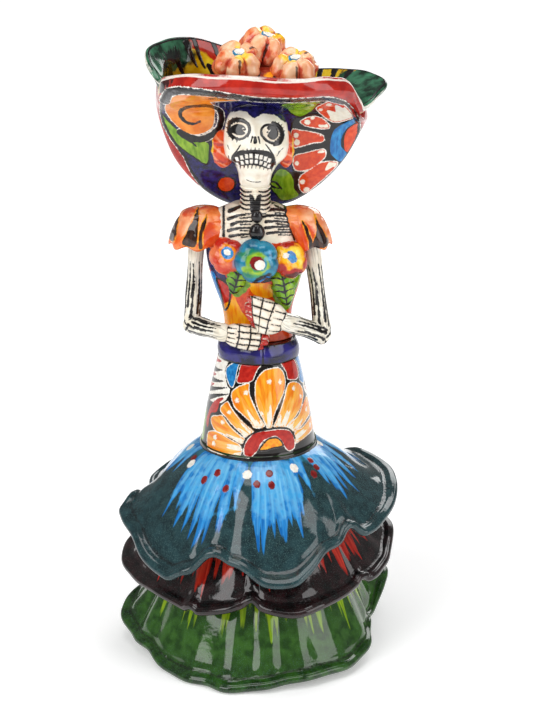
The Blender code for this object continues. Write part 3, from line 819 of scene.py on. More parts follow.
        blades = join(*[patch(u, z, p) for p in petals]) + 0.6
        heart = ((57, 326.5), (53, 323), (51, 317.5), (51.5, 311), (53, 308.5), (56.5, 311), (60, 318.5),
            (59, 326.5))
        half_ring = ((57, 331.5), (49, 326.5), (44.5, 322.5), (43, 315.5), (43.5, 308), (49.5, 302.5),
            (53, 307), (49.5, 312.5), (49.5, 318.5), (52.5, 324), (57, 328))
        blue = patch(u, z, half_ring)
        berry = spot(u, z, (-19, 289.5), 5, 4.4, 25)
        reds = join(blades, patch(u, z, heart), berry)
        dots = ((36.5, 338.5), (41, 343.5), (29, 329), (32, 332), (22.5, 320.5), (23, 316), (23, 303),
            (26.5, 291), (29, 285.5))
        dabs = [spot(u, z, at, 1.3 + 0.25 * (k % 3)) for k, at in enumerate(dots)]
        centre = (58, 318)
        angle = np.degrees(np.arctan2(z - centre[1], centre[0] - u))
        distance = np.hypot(u - centre[0], z - centre[1])
        streaks = within(blades + 0.5,
            distance - 20.0 - 0.09 * np.abs(angle) + 2.6 * np.cos(np.radians(angle * 26)))
        ribs = join(
            stroke(u, z, ((-45, 319), (-41, 316.6), (-36.5, 313.4)), 0.8, 0.5),
            stroke(u, z, ((7.5, 289), (10, 287.5), (13.5, 287)), 0.9, 0.4),
            stroke(u, z, ((-28, 349.5), (-18, 349.5), (-10, 349)), 0.5, 0.3),
            stroke(u, z, ((14, 286.5), (11, 290.5), (7.5, 291.5)), 0.5, 0.8),
        )
        top = ((-54, 345), (-51, 351.5), (-44, 354.6), (-30, 354.5), (-14, 352.2), (0.5, 349.6),
            (15, 349.2), (30, 349.2), (40, 349), (49, 345))
        rim_line = join(np.abs(field_) - 0.9)
        top_line = stroke(u, z, top, 2.9, 1.7)
        below = (1 - rise) * 92
        outside_lip = np.where(outer, below, -below)
        degrees = np.degrees(turn)
        white_line = front_only(outer, np.abs(below - 0.8 - 0.4 * np.sin(degrees / 7)) - 0.9)
        dark_lip = join(np.abs(share - self.lip_share + 0.008) * 250 - 2.2)
        wing = join(spot(degrees, outside_lip, (-100, -6), 30, 14),
            spot(degrees, outside_lip, (-88, 5), 9, 6), spot(degrees, outside_lip, (98, -10), 24, 17),
            spot(degrees, outside_lip, (104, 4), 9, 5))
        wing_black = join(
            front_only(
                ~outer,
                join(spot(degrees, below, (-96, 16), 12, 8), spot(degrees, below, (-111, 9), 9, 4),
                    spot(degrees, below, (84, 22), 12, 12), spot(degrees, below, (104, 14), 6, 5)),
            ),
            front_only(outer,
                join(spot(degrees, below, (-66, 4), 7, 3), spot(degrees, below, (118, 7), 5, 3))),
        )
        inside = ~outer
        wing_yellow = front_only(
            outer,
            join(spot(degrees, below, (-84, 5), 12, 7), spot(degrees, below, (92, 6), 11, 6),
                spot(degrees, below, (130, 6), 10, 6), spot(degrees, below, (-130, 6), 12, 6),
                spot(degrees, below, (175, 6), 14, 6)),
        )
        inner_ochre = front_only(
            inside,
            join(spot(degrees, below, (-122, 24), 32, 19), spot(degrees, below, (132, 6), 20, 14),
                spot(degrees, below, (180, 30), 26, 16), spot(degrees, below, (-180, 30), 26, 16),
                spot(degrees, below, (20, 30), 40, 16), spot(degrees, below, (-60, 30), 26, 14)),
        )
        dashes = []
        for at in (-160, -146, -132, 118, 127, 136, 145, 158, 171, -172, -30, 0, 30, 60):
            dashes.append(stroke(degrees, below, ((at, 0), (at - 2, 8), (at - 4, 17)), 1.9, 1.1))
        for at, down in ((-126, 9), (-116, 16), (-108, 22), (-100, 27), (-140, 22), (-90, 30)):
            dashes.append(stroke(degrees, below, ((at, down - 6), (at - 5, down + 8)), 2.4, 0.8))
        inner_dashes = front_only(inside, join(*dashes))
        eyes = front_only(
            outer,
            join(spot(degrees, below, (-71, 7), 5, 4), spot(degrees, below, (97, 8), 5, 3.6),
                spot(degrees, below, (135, 8), 5, 4), spot(degrees, below, (-134, 8), 6, 4)),
        )
        return [
            Coat(NAVY, front_only(outer, field_), 0.5, 0.3),
            Coat(INK, front_only(outer, join(patch(u, z, cup), leaves - 1.0, swirl - 0.9, berry - 0.9)),
                0.5, 0.3),
            Coat(
                CHALK,
                front_only(outer,
                    join(blades - 0.55, swirl - 0.45, np.abs(field_ - 0.7) - 0.45, curl_line - 0.4)),
                0.35, 0.25, Brush.FINE,
            ),
            Coat(LEAF, front_only(outer, leaves), 0.4, 0.3, Brush.STREAK),
            Coat(Glaze("swirl", "DE7416", "F0983A"), front_only(outer, swirl), 0.3, 0.3, Brush.BLOTCH),
            Coat(VERMILION, front_only(outer, reds), 0.3, 0.3, Brush.LOADED),
            Coat(BLUE, front_only(outer, blue), 0.3, 0.3, Brush.STREAK),
            Coat(CREAM, front_only(outer, join(streaks, *dabs)), 0.35, 0.5),
            Coat(OCHRE, join(inner_ochre, wing_yellow), 2.0, 1.2, Brush.BLOTCH),
            Coat(Glaze("wing_green", "0E2A1C", "3E7C5C"), wing, 3.0, 2.0, Brush.BLOTCH),
            Coat(INK, wing_black, 2.4, 1.6, Brush.STREAK, 0.9),
            Coat(CHALK, front_only(outer, top_line - 0.5), 0.4, 0.3, Brush.FINE),
            # The black line along the top of the navy field, with grey breaks as a painted reflection of the
            # light at the bend of the brim.
            Coat(SLATE, front_only(outer, top_line), 0.7, 0.6, Brush.LOADED),
            Coat(INK,
                join(front_only(outer, join(rim_line, curl_line, ribs)), inner_dashes, eyes, dark_lip),
                0.35, 0.3, Brush.LOADED),
            Coat(CHALK, white_line, 0.3, 0.5, Brush.LOADED, 0.85),
        ]

    def build_crown(self) -> None:
        """Shapes and paints the dome that carries the blossoms."""
        blank = ball_blank("painted_hat_crown", 160, 90)
        up, flat = blank.poles()
        x = 2 + 24.1 * flat * np.sin(blank.turn)
        y = -4 - 18.9 * flat * np.cos(blank.turn)
        z = 345.4 + np.where(up > 0, 16.0, 9.0) * up + ripple(blank.turn, ((5, 0.3, 1.0),)) * flat
        z = np.maximum(z, self.floor_under(y) + 0.4)
        write_points(blank.piece, np.stack([x, y, z], -1))
        dashes = [stroke(x, y, ((-20 + 9 * k, -20), (-17 + 9 * k, -14), (-18 + 9 * k, -8)), 1.2, 0.4)
            for k in range(5)]
        coats = [
            Coat(AMBER,
                join(spot(x, y, (-8, -18), 9, 5), spot(x, y, (12, -16), 8, 6), spot(x, y, (4, 8), 10, 6)),
                1.5, 1.0, Brush.BLOTCH),
            Coat(INK, join(*dashes), 0.5, 0.4, Brush.LOADED),
        ]
        fire(blank.piece, "hat_crown",
            PaintedFinish("hat_crown_glaze", Glaze("clay_red", "7C2012", "A8402A"), coats))

    def build(self) -> None:
        """Builds the hat and what it carries."""
        self.build_brim()
        self.build_crown()
        for side, centre, facing, turned in (
            ("left", (-11.5, -8, 363.4), (0.1, -0.55, 0.85), 0.2),
            ("right", (21, -8, 359.8), (0.05, -0.45, 0.9), 0.75),
            ("top", (3, 7, 370.2), (0.3, -0.3, 0.9), 1.3),
        ):
            PuffedBlossom(f"hat_blossom_{side}", centre, facing, turned, 14.6 if side == "left" else 14.2
            ).build()


@dataclass
class PuffedBlossom:
    """A blossom of puffed, pinched lobes round a white button, mottled from peach to red, with light and
    shade painted in: peach on top, red in the grooves and underneath.
    """

    node: str
    centre: tuple[float, float, float]
    facing: tuple[float, float, float]
    turned: float
    radius: float = 14.2
    lobes: int = 5
    flatness: float = 0.8

    def _frame(self) -> Points:
        """Three directions: across, up and out along the way it faces."""
        out = np.array(self.facing, float)
        out /= np.linalg.norm(out)
        across = np.cross((0, 1, 0), out)
        across /= np.linalg.norm(across)
        return np.array([across, np.cross(out, across), out])

    def build(self) -> None:
        """Pinches a ball into lobes and paints it."""
        blank = ball_blank(f"painted_{self.node}", 180, 110)
        up, flat = blank.poles()
        swing = blank.turn * self.lobes / 2 + self.turned + 0.35 * np.sin(blank.turn)
        groove = 1 - np.abs(np.cos(swing)) ** 0.5
        pinch = 0.035 * np.sin(7 * blank.turn + 9 * up + self.turned) + 0.03 * np.sin(4 * blank.turn - 6 * up)
        wide = flat * (1 - 0.3 * groove * flat) * (1 + pinch * flat)
        tall = up * self.flatness * (1 - 0.22 * groove * flat)
        crest = hill(flat - 0.6, 0.24) * (up > 0) * (1 - groove)
        tall = tall + 0.13 * crest - 0.3 * np.where(up > 0, hill(flat, 0.36), 0) * self.flatness
        button = np.where(up > 0, ease(-flat, -0.34, -0.2), 0)
        tall = tall + button * 0.1
        plane = np.stack([wide * np.sin(blank.turn), -wide * np.cos(blank.turn), tall], -1) * self.radius
        points = plane @ self._frame() + np.array(self.centre)
        write_points(blank.piece, points)
        from_middle = np.hypot(plane[:, 0], plane[:, 1])
        low = NEVER * (up < 0.1)
        lobe = 1 - groove
        hub = spot(plane[:, 0], plane[:, 1], (0, 0), 3.0, 2.3, 20) + low
        crescent = spot(plane[:, 0], plane[:, 1], (-0.6, -0.7), 3.5, 2.9, 20) + low
        sweep = [
            stroke(plane[:, 0], plane[:, 1], ((6, 3), (9.5, 5.5)), 0.8, 0.3) + low,
            stroke(plane[:, 0], plane[:, 1], ((1, -9.5), (1.5, -12.5)), 0.9, 0.4) + NEVER * (up < -0.2),
        ]
        # Painted light and shade: the peach ground shows on top as a painted highlight, tangerine lies lower
        # down, and rose and brick red darken the grooves and the underside as painted shade. The yellow round
        # the hub is the blossom's own colour.
        coats = [
            Coat(TANGERINE, up * 7.0 - 1.5 + 2.4 * np.sin(blank.turn * 2 + self.turned), 4.2, 3.4,
                Brush.BLOTCH, 0.8),
            Coat(YELLOW, from_middle - 5.0 - 4.0 * np.sin(blank.turn * 1.5 + self.turned * 4) + low, 3.6,
                2.8, Brush.BLOTCH, 0.95),
            Coat(ROSE, join((lobe - 0.74) * 8 + up * 3.0, up * 9.0 + 2.0), 4.5, 2.6, Brush.BLOTCH, 0.9),
            Coat(BRICK, join((lobe - 0.3) * 9 + up * 5.0, up * 9.0 + 6.5), 2.2, 1.6, Brush.BLOTCH, 0.85),
            Coat(PETROL, crescent, 0.3, 0.3), Coat(CHALK, hub, 0.25, 0.25),
            Coat(INK, join(*sweep), 0.4, 0.4, Brush.LOADED, 0.85),
        ]
        fire(blank.piece, self.node, PaintedFinish(f"{self.node}_glaze", PEACH, coats, unevenness=0.25))


# ---------------------------------------------------------------- the head


@dataclass
class Head:
    """The skull with its blossoms at the temples, on a ridged neck."""

    hat: Hat
    centre: tuple[float, float, float] = (-1.0, -5.5, CHIN + 26.5)
    half_height: float = 26.5
    widths: Sequence[tuple[float, float]] = ((-1, 18), (-0.883, 17.5), (-0.78, 14.8), (-0.675, 13.2),
        (-0.52, 13.1), (-0.43, 13.8), (-0.35, 15.4), (-0.25, 17.8), (-0.07, 18.9), (0.15, 19.3),
        (0.38, 19.9), (0.645, 21.4), (0.83, 22.5), (1, 22.5))
    fronts: Sequence[tuple[float, float]] = ((-1, 15), (-0.6, 16.5), (-0.2, 18.3), (0.3, 18.8), (0.7, 18.5),
        (1, 17))
    backs: Sequence[tuple[float, float]] = ((-1, 9), (-0.6, 10.5), (-0.2, 16), (0.3, 18), (1, 18))
    mouth: Outline = ((-15, 306), (-14.5, 309), (-13, 313.5), (-10.5, 316), (-6.5, 316.5), (-2, 317),
        (3, 316.5), (6.5, 315.5), (8.5, 312.5), (9.5, 308.5), (8.5, 304.5), (5.5, 305), (1.5, 307),
        (-3.5, 308), (-8.5, 307), (-12, 306))

    def build_skull(self) -> None:
        """Shapes and paints the skull."""
        blank = ball_blank("painted_skull", 320, 196)
        turn = blank.turn - 0.33 * np.sin(blank.turn)
        up, flat = blank.poles()
        wide = table(up, self.widths, 1) * flat
        deep = np.where(np.cos(turn) > 0, table(up, self.fronts, 1), table(up, self.backs, 1)) * flat
        x = self.centre[0] - 0.8 * ease(-up, 0.4, 0.75) + wide * np.sin(turn)
        z = self.centre[2] + self.half_height * up
        y = self.centre[1] - deep * np.sign(np.cos(turn)) * np.abs(np.cos(turn)) ** 0.9
        face = ease(np.cos(turn), 0.0, 0.35)

        def bump(at: tuple[float, float], size: tuple[float, float]) -> Field:
            """A soft swelling on the face."""
            return np.exp(-(((x - at[0]) / size[0]) ** 2) - ((z - at[1]) / size[1]) ** 2)

        mouth = patch(x, z, self.mouth)
        relief = (-0.9 * bump((-10.6, 327.5), (4.6, 3.8)) - 0.9 * bump((7.8, 325.5), (4.8, 4.2))
            + 0.9 * bump((-10.5, 334), (6, 2.0)) + 0.9 * bump((8.5, 332), (6, 2.0))
            + 1.3 * bump((-1.2, 324.5), (2.4, 5)) - 1.1 * bump((-1.5, 321.7), (1.5, 1.6))
            + 1.1 * bump((-14.5, 319.5), (4, 4)) + 1.1 * bump((13, 318), (4, 4))
            + 1.4 * bump((-2.5, 312), (10, 6)) - 0.8 * ease(-mouth, 0, 1.2)
            + 1.0 * bump((-2, 294.5), (6, 4)) - 0.8 * bump((-2, 300), (7, 1.8)))
        for cell in self._teeth():
            relief = relief + 0.5 * ease(-self._tooth(x, z, *cell), -0.2, 0.7)
        y = y - relief * face
        y = np.minimum(y, self.hat.front_wall(x, z) + 1.2)
        write_points(blank.piece, np.stack([x, y, z], -1))
        on = np.cos(turn) > -0.05
        coats = [Coat(c.glaze, front_only(on, c.where), c.wobble, c.soft, c.brush, c.cover)
            for c in self._painting(x, z, mouth)]
        finish = PaintedFinish("skull_glaze", CREAM, coats, roughness=0.09)
        fire(blank.piece, "skull", finish, np.stack([x, z * 0.25, y], -1))

    @staticmethod
    def _tooth(x: Field, z: Field, at: tuple[float, float], wide: float, high: float, lean: float) -> Field:
        """One squarish tooth.

        Args:
            x: across the face.
            z: height.
            at: its middle.
            wide: half its width.
            high: half its height.
            lean: how far it leans, in degrees.

        Returns:
            Distance from its edge, below nought inside.
        """
        c, s = math.cos(math.radians(lean)), math.sin(math.radians(lean))
        across, along = (x - at[0]) * c + (z - at[1]) * s, (z - at[1]) * c - (x - at[0]) * s
        return np.maximum(np.abs(across) - wide, np.abs(along) - high)

    def _teeth(self) -> list[tuple[tuple[float, float], float, float, float]]:
        """Two rows of teeth, each as its centre, its half width, its half height and its lean."""
        cells = []
        for k, x in enumerate((-12.0, -9.3, -6.4, -3.9, -0.6, 1.9, 4.4, 6.6)):
            cells.append(
                ((x, 313.4 - 0.035 * (x + 3) ** 2), 0.9 if k in (2, 3) else 0.95, 1.3, -2.0 * (x + 3)))
        for x in (-11.8, -9.0, -6.3, -3.7, -0.9, 1.8, 4.3, 6.4):
            cells.append(((x, 310.0 - 0.04 * (x + 3) ** 2), 0.85, 1.15, -2.5 * (x + 3)))
        return cells

    def _painting(self, x: Field, z: Field, mouth: Field) -> list[Coat]:
        """Paints the face in black line over cream.

        Args:
            x: across the face.
            z: height.
            mouth: distance from the mouth's edge.

        Returns:
            The coats in the order that they are laid.
        """
        high = z + 2.5
        left_ring = ((-15.5, 333), (-13.5, 334.5), (-10, 335), (-6.5, 334), (-5, 331.5), (-5.5, 328.5),
            (-8, 326), (-11.5, 325), (-14.5, 326.5), (-16.5, 329), (-16.5, 331.5))
        right_ring = ((2, 329.5), (2.5, 331.5), (4.5, 333), (8, 333), (11, 331.5), (13, 328.5),
            (13.5, 325.5), (11, 323), (8, 323), (4.5, 325), (2.5, 327.5))
        left_eye = ((-16, 329.8), (-14, 332), (-11, 333), (-8, 332), (-7, 330.5), (-9, 329.9),
            (-7.5, 328.5), (-10.5, 327.5), (-13.5, 328), (-15.5, 328.5))
        right_eye = ((5.5, 331.3), (7.5, 332.2), (10, 331.5), (11.5, 328.5), (11, 326), (8.5, 325),
            (5.8, 327), (7, 328.5), (5.2, 329), (6.8, 329.8))
        lashes = []
        for k in range(9):
            a = math.radians(100 + 20 * k)
            c, s = math.cos(a), math.sin(a)
            lashes.append(
                stroke(x, high, ((-10.8 + 5.6 * c, 330 + 4.6 * s), (-10.8 + 7.9 * c, 330 + 6.9 * s)), 0.7,
                    0.2)
            )
        for k in range(9):
            a = math.radians(72 - 17 * k)
            c, s = math.cos(a), math.sin(a)
            lashes.append(
                stroke(x, high, ((7.8 + 5.4 * c, 328 + 4.9 * s), (7.8 + 7.8 * c, 328 + 7.2 * s)), 0.7, 0.2))
        heavy = join(
            stroke(x, high,
                ((-16.8, 333), (-13.5, 335.6), (-9, 336), (-5.4, 333.8), (-4.4, 330.5), (-5.8, 327)), 0.75,
                0.6),
            stroke(x, high, ((-16.9, 331), (-17, 327.5), (-14.5, 325.3)), 0.8, 0.75),
            stroke(x, high,
                ((8.5, 334.2), (11.8, 332.5), (14, 329), (14.6, 325.5), (12.8, 322.4), (9.5, 321.9)), 0.8,
                0.85),
        )
        nose = join(
            stroke(x, z, ((-3.0, 324.4), (-4.0, 321.0)), 0.55, 0.3),
            patch(x, z, ((-2.1, 324.6), (-0.8, 324.4), (-0.4, 320.9), (-2.5, 320.7))),
            stroke(x, z, ((0.4, 324.3), (1.2, 320.7)), 0.6, 0.4),
        )
        fringe = []
        for k in range(9):
            at = -11 + 2.3 * k
            fringe.append(
                stroke(x, z,
                    ((at, 315.3 - 0.03 * (at + 3) ** 2), (at + 0.3, 318.4 - 0.035 * (at + 3) ** 2)), 0.5,
                    0.15)
            )
            low = 306.9 - 0.03 * (at + 3) ** 2
            fringe.append(stroke(x, z, ((at + 0.8, low + 1), (at + 0.6, low - 1.4)), 0.5, 0.15))
        teeth = join(*[self._tooth(x, z, *cell) for cell in self._teeth()])
        fine = join(
            stroke(x, z, ((-10, 319.5), (-12, 316), (-14.5, 312), (-15.3, 307)), 0.3, 0.75),
            stroke(x, z, ((4.5, 320), (7, 316.5), (9, 312.5), (10, 307)), 0.3, 0.75),
            stroke(x, z, ((-6.5, 297.5), (-3.5, 296.6), (1.5, 296.4)), 0.25, 0.3),
            stroke(x, z, ((-17, 311.5), (-16.2, 307), (-14.5, 304)), 0.3, 0.35),
            stroke(x, z, ((-17.5, 318), (-16.5, 315.5)), 0.3, 0.15),
            stroke(x, z, ((13, 315.5), (11, 312.5)), 0.35, 0.2),
            stroke(x, z, ((14.5, 316.5), (12, 314.8)), 0.3, 0.2),
        )
        shade = join(spot(x, z, (-2, 300.2), 9, 1.6) + 0.6, spot(x, high, (-10.8, 330), 6, 5.2) + 0.8,
            spot(x, high, (7.8, 328), 6.2, 5.4) + 0.8, z - 291)
        brow = patch(
            x, z,
            ((-34, 326), (-23, 329), (-19, 331.5), (-16, 335.5), (-10.5, 337.4), (-6, 337), (-3, 334.6),
                (-0.5, 334.8), (2.5, 336.4), (8.5, 335.8), (13, 333), (17, 329.5), (24, 327.5), (34, 325),
                (34, 352), (-34, 352)),
        )
        rings = join(np.abs(patch(x, high, left_ring)) - 0.7, np.abs(patch(x, high, right_ring)) - 0.75)
        pupils = join(patch(x, high, left_eye), patch(x, high, right_eye)) - 0.35
        line = join(rings, heavy, *lashes, nose, fine, pupils, *fringe)
        return [
            Coat(NAVY, brow, 0.5, 0.3, Brush.LOADED),
            Coat(BISQUE, shade, 1.5, 2.5, Brush.BLOTCH, 0.28),
            Coat(INK, join(line, mouth - 0.2), 0.16, 0.22),
            Coat(
                CHALK,
                join(teeth, spot(x, high, (-8.4, 331.0), 0.75, 0.3, 20),
                    spot(x, high, (6.6, 329.6), 0.9, 0.35, 40)),
                0.2, 0.3,
            ),
        ]

    def build_neck(self) -> None:
        """Shapes and paints the ridged neck."""
        blank = ball_blank("painted_neck", 144, 120)
        up = np.clip((blank.share - 0.08) / 0.84, 0, 1)
        end = np.minimum(ease(blank.share, 0, 0.08), ease(1 - blank.share, 0, 0.08))
        z = 275.5 + 20.5 * up
        ridges = 0.5 * np.cos((z - 276) / 2.55 * TAU) * ease(z, 278, 281)
        radius = (8.6 + 1.5 * (1 - ease(z, 276, 284)) + ridges) * end
        x, y = -1.6 + radius * np.sin(blank.turn), -4.5 - radius * np.cos(blank.turn) * 0.95
        write_points(blank.piece, np.stack([x, y, z], -1))
        lines = [
            stroke(
                x, z,
                ((side * 9.5 - 1.6, 290 - 2.55 * k), (side * 6 - 1.6, 289.1 - 2.55 * k),
                    (side * 2.2 - 1.6, 289.6 - 2.55 * k)),
                0.62, 0.4,
            ) for k in range(6) for side in (-1, 1)
        ]
        front = np.cos(blank.turn) > -0.3
        blocks = join(
            patch(
                x, z,
                ((-5.0, 288), (-2.8, 287), (-1.7, 284.5), (-0.6, 287), (1.8, 288), (1.6, 283), (1.0, 277.5),
                    (-1.6, 276.5), (-4.2, 277.5), (-4.8, 283)),
            )
        )
        behind = np.abs((z - 276) % 2.55 - 1.2) - 0.35
        coats = [
            Coat(BISQUE, join(*lines) - 0.8, 0.6, 1.2, Brush.LOADED, 0.35),
            Coat(INK, np.where(front, join(blocks, *lines), behind), 0.25, 0.25),
        ]
        fire(blank.piece, "neck", PaintedFinish("neck_glaze", CREAM, coats))

    def build_temple_blossom(self, node: str, side: int) -> None:
        """Shapes and paints the pressed blossom at one temple.

        Args:
            node: the model's node.
            side: -1 for the left, 1 for the right.
        """
        blank = ball_blank(f"painted_{node}", 120, 110)
        up, flat = blank.poles()
        scallop = 1 - 0.12 * np.abs(np.sin(3.5 * up * math.pi / 2 + 0.6))
        middle, half = (-20.4, 7.4) if side < 0 else (16.3, 5.4)
        x = middle + half * flat * np.sin(blank.turn) * scallop
        z = self.centre[2] - 2.8 + 11.3 * up
        y = -2.5 - 7.0 * flat * np.cos(blank.turn) * scallop
        y = np.minimum(y, self.hat.front_wall(x, z) + 1.2)
        write_points(blank.piece, np.stack([x, y, z], -1))
        edge = half - np.abs(x - middle)
        coats = [
            Coat(PEACH, np.abs(np.sin(z / 2.1 + x / 3)) * 3 - 1.1, 1.4, 1.4, Brush.BLOTCH, 0.55),
            Coat(BRICK, np.abs(np.sin(z / 3.3 + 1.4)) * 4 - 0.8, 1.0, 1.0, Brush.LOADED, 0.9),
            Coat(YELLOW, np.abs(edge - 1.0) - 0.6 + NEVER * (side * (x - middle) < 0), 0.6, 0.6,
                Brush.LOADED, 0.9),
        ]
        fire(blank.piece, node, PaintedFinish(f"{node}_glaze", VERMILION, coats, unevenness=0.3))

    def build(self) -> None:
        """Builds the head."""
        self.build_skull()
        self.build_neck()
        for node, side in (("ear_blossom_left", -1), ("ear_blossom_right", 1)):
            self.build_temple_blossom(node, side)


# ---------------------------------------------------------------- the bodice


def column(blank: Blank, cap: float = 0.06) -> tuple[Field, Field]:
    """Reads a ball as a closed column.

    Args:
        blank: the ball.
        cap: the share of it that closes each end.

    Returns:
        How far up the column each point is, and how far out from its axis, 0 to 1.
    """
    up = np.clip((blank.share - cap) / (1 - 2 * cap), 0, 1)
    out = np.minimum(np.clip(blank.share / cap, 0, 1), np.clip((1 - blank.share) / cap, 0, 1))
    return up, np.sin(out * math.pi / 2)


@dataclass
class Bodice:
    """The modelled body with its puffed sleeves, bust blossoms, leaves and beads, over the sash."""

    base: float = 198.4
    height: float = 82.0
    lean: float = -2.5
    shape: Sequence[tuple[float, float, float]] = ((0.0, 21.1, 16.1), (0.09, 20.3, 15.3),
        (0.22, 21.3, 15.4), (0.38, 25.4, 17.1), (0.55, 28.9, 18.8), (0.66, 29.5, 19.0), (0.78, 28.0, 17.5),
        (0.88, 26.5, 15.2), (0.95, 22.4, 12.5), (1.0, 12.4, 9.1))

    def build_torso(self) -> None:
        """Shapes and paints the body."""
        blank = ball_blank("painted_torso", 260, 190)
        up, out = column(blank, 0.05)
        wide, deep = table(up, self.shape, 1) * out, table(up, self.shape, 2) * out
        x = self.lean * up + wide * np.sin(blank.turn)
        z = self.base + self.height * up
        y = -deep * np.cos(blank.turn)
        front = ease(np.cos(blank.turn), 0.1, 0.6)
        ribs = 0.35 * np.cos(
            (z - 266) / 3.6 * TAU) * ease(z, 264, 267) * ease(-z, -281, -278) * ease(np.abs(x), 3, 6)
        groove = -0.9 * np.exp(-(((x + 1.5) / 3) ** 2)) * ease(z, 262, 268)
        y = y - (ribs + groove) * front * out
        write_points(blank.piece, np.stack([x, y, z], -1))
        finish = PaintedFinish("bodice_glaze", CREAM, self._painting(x, z, np.cos(blank.turn) > 0),
            roughness=0.08)
        fire(blank.piece, "torso", finish, np.stack([x, z * 0.2, y], -1))

    def _painting(self, x: Field, z: Field, front: Field) -> list[Coat]:
        """Paints the ribs and the bodice in front, and the spine and lacing behind.

        Args:
            x: across the body.
            z: height.
            front: whether a point is on the front.

        Returns:
            The coats in the order that they are laid.
        """
        top = ((-40, 259), (-28, 261), (-19.5, 262), (-10.5, 259), (-6.5, 257.5), (0.5, 261), (10, 259.5),
            (20.5, 259.5), (28.5, 255), (40, 259), (40, 190), (-40, 190))
        bodice = np.where(front, patch(x, z, top), z - 262 - 2.5 * np.cos(x / 6))
        navy = np.where(
            front,
            join(
                patch(
                    x, z,
                    ((-36, 259), (-28, 253.5), (-28, 248), (-24, 244), (-18.5, 238), (-17, 233),
                        (-22.5, 235.5), (-29, 241), (-36, 247)),
                ),
                patch(x, z, ((22, 246), (27, 246), (36, 258), (36, 240), (24, 236), (20, 238))),
            ),
            join(np.abs(z - 257 - 2.5 * np.cos(x / 6)) - 3.2, np.abs(z - 201) - 3),
        )
        panel = patch(
            x, z,
            ((-24.5, 236.5), (-18.5, 234), (-16.5, 229.5), (-17, 222.5), (-18.5, 217.5), (-20.5, 216),
                (-22, 225.5), (-23.5, 231)),
        )
        amber = np.where(
            front,
            join(
                patch(
                    x, z,
                    ((-22.5, 216), (-16, 224), (-14.5, 227.5), (-10.5, 218.5), (-5, 210), (-5, 198),
                        (-24, 198)),
                ),
                patch(x, z, ((-4, 236), (9.5, 234), (10, 229.5), (9.5, 227), (3, 226), (-4, 230))),
            ), spot(x, z, (0, 232), 10, 14),
        )
        sliver = patch(x, z,
            ((-28, 240), (-24.2, 236), (-23.2, 230), (-21.8, 224), (-20.4, 216), (-26, 216), (-28, 228)))
        leaf = np.where(
            front,
            join(
                patch(
                    x, z,
                    ((-19, 243), (-14.5, 245), (-6.5, 240.5), (-4.5, 236.5), (-5.5, 232.5), (-12, 226),
                        (-16, 229.5)),
                ),
                patch(
                    x, z,
                    ((9.5, 242), (16.5, 240), (25.5, 239), (23, 228.5), (18.5, 217), (12.5, 218), (9, 227.5)
                    ),
                ),
            ),
            join(spot(x, z, (-15, 226), 4, 11, 20), spot(x, z, (15, 226), 4, 11, -20)),
        )
        ribs = []
        for path in (
            ((-17, 277), (-9, 280), (-3.5, 279.6)), ((-17.5, 273), (-10.5, 275.5), (-3.5, 276)),
            ((-15.5, 270), (-10.5, 272), (-3.5, 272.2)),
            ((-17.5, 266.5), (-10.5, 268.5), (-3.5, 268.6)), ((-16.5, 263.4), (-10, 264.8), (-5, 265.2)),
            ((2, 281), (10, 281), (15, 279)), ((2.5, 278), (10, 278), (16, 277)),
            ((3, 275), (10, 275.2), (17, 274)), ((4.5, 272), (11, 272), (18.5, 270.5)),
            ((4.5, 268.6), (12, 268.8), (21, 267.6)), ((5.5, 265.4), (12, 265.8), (21, 264.6)),
        ):
            ribs.append(stroke(x, z, path, 1.0, 0.5))
            ribs.append(stroke(x, z, [(a, b - 1.5) for a, b in path[1:]], 0.45, 0.3))
        edges = join(
            stroke(x, z, ((-20.4, 281), (-20.2, 273), (-20.2, 263)), 0.8),
            stroke(x, z, ((15.0, 282), (16.6, 276.5), (18.4, 269.5), (21.5, 260.5)), 0.8),
        )
        spine = []
        for k in range(7):
            high = 264.5 + 2.5 * k
            spine.append(stroke(x, z, ((-18, high - 1.5), (-8, high + 0.6), (-2, high)), 0.35, 0.7))
            spine.append(stroke(x, z, ((16, high - 1.5), (6, high + 0.6), (0, high)), 0.35, 0.7))
        lacing = [stroke(x, z, ((-5, 215 + 5 * k), (0, 217.5 + 5 * k), (5, 220 + 5 * k)), 0.6)
            for k in range(7)]
        lacing += [stroke(x, z, ((5, 215 + 5 * k), (0, 217.5 + 5 * k), (-5, 220 + 5 * k)), 0.6)
            for k in range(7)]
        drawn = np.where(front, join(*ribs, edges, np.abs(panel) - 0.6, spot(x, z, (3.5, 240), 7, 4.2)),
            join(*spine, *lacing, np.abs(amber) - 0.6, np.abs(leaf) - 0.5))
        return [
            Coat(BISQUE, np.where(front, join(*ribs, edges) - 0.9, join(*spine) - 0.8), 0.7, 1.4,
                Brush.LOADED, 0.3),
            Coat(VERMILION, bodice, 0.4, 0.4, Brush.LOADED), Coat(NAVY, navy, 0.5, 0.4, Brush.LOADED),
            Coat(SKY, front_only(front, sliver), 0.3, 0.3), Coat(RED, front_only(front, panel), 0.3, 0.3),
            Coat(AMBER, amber, 0.4, 0.3, Brush.STREAK), Coat(LEAF, leaf, 0.6, 0.4, Brush.LOADED),
            Coat(INK, drawn, 0.25, 0.25, Brush.FINE),
        ]

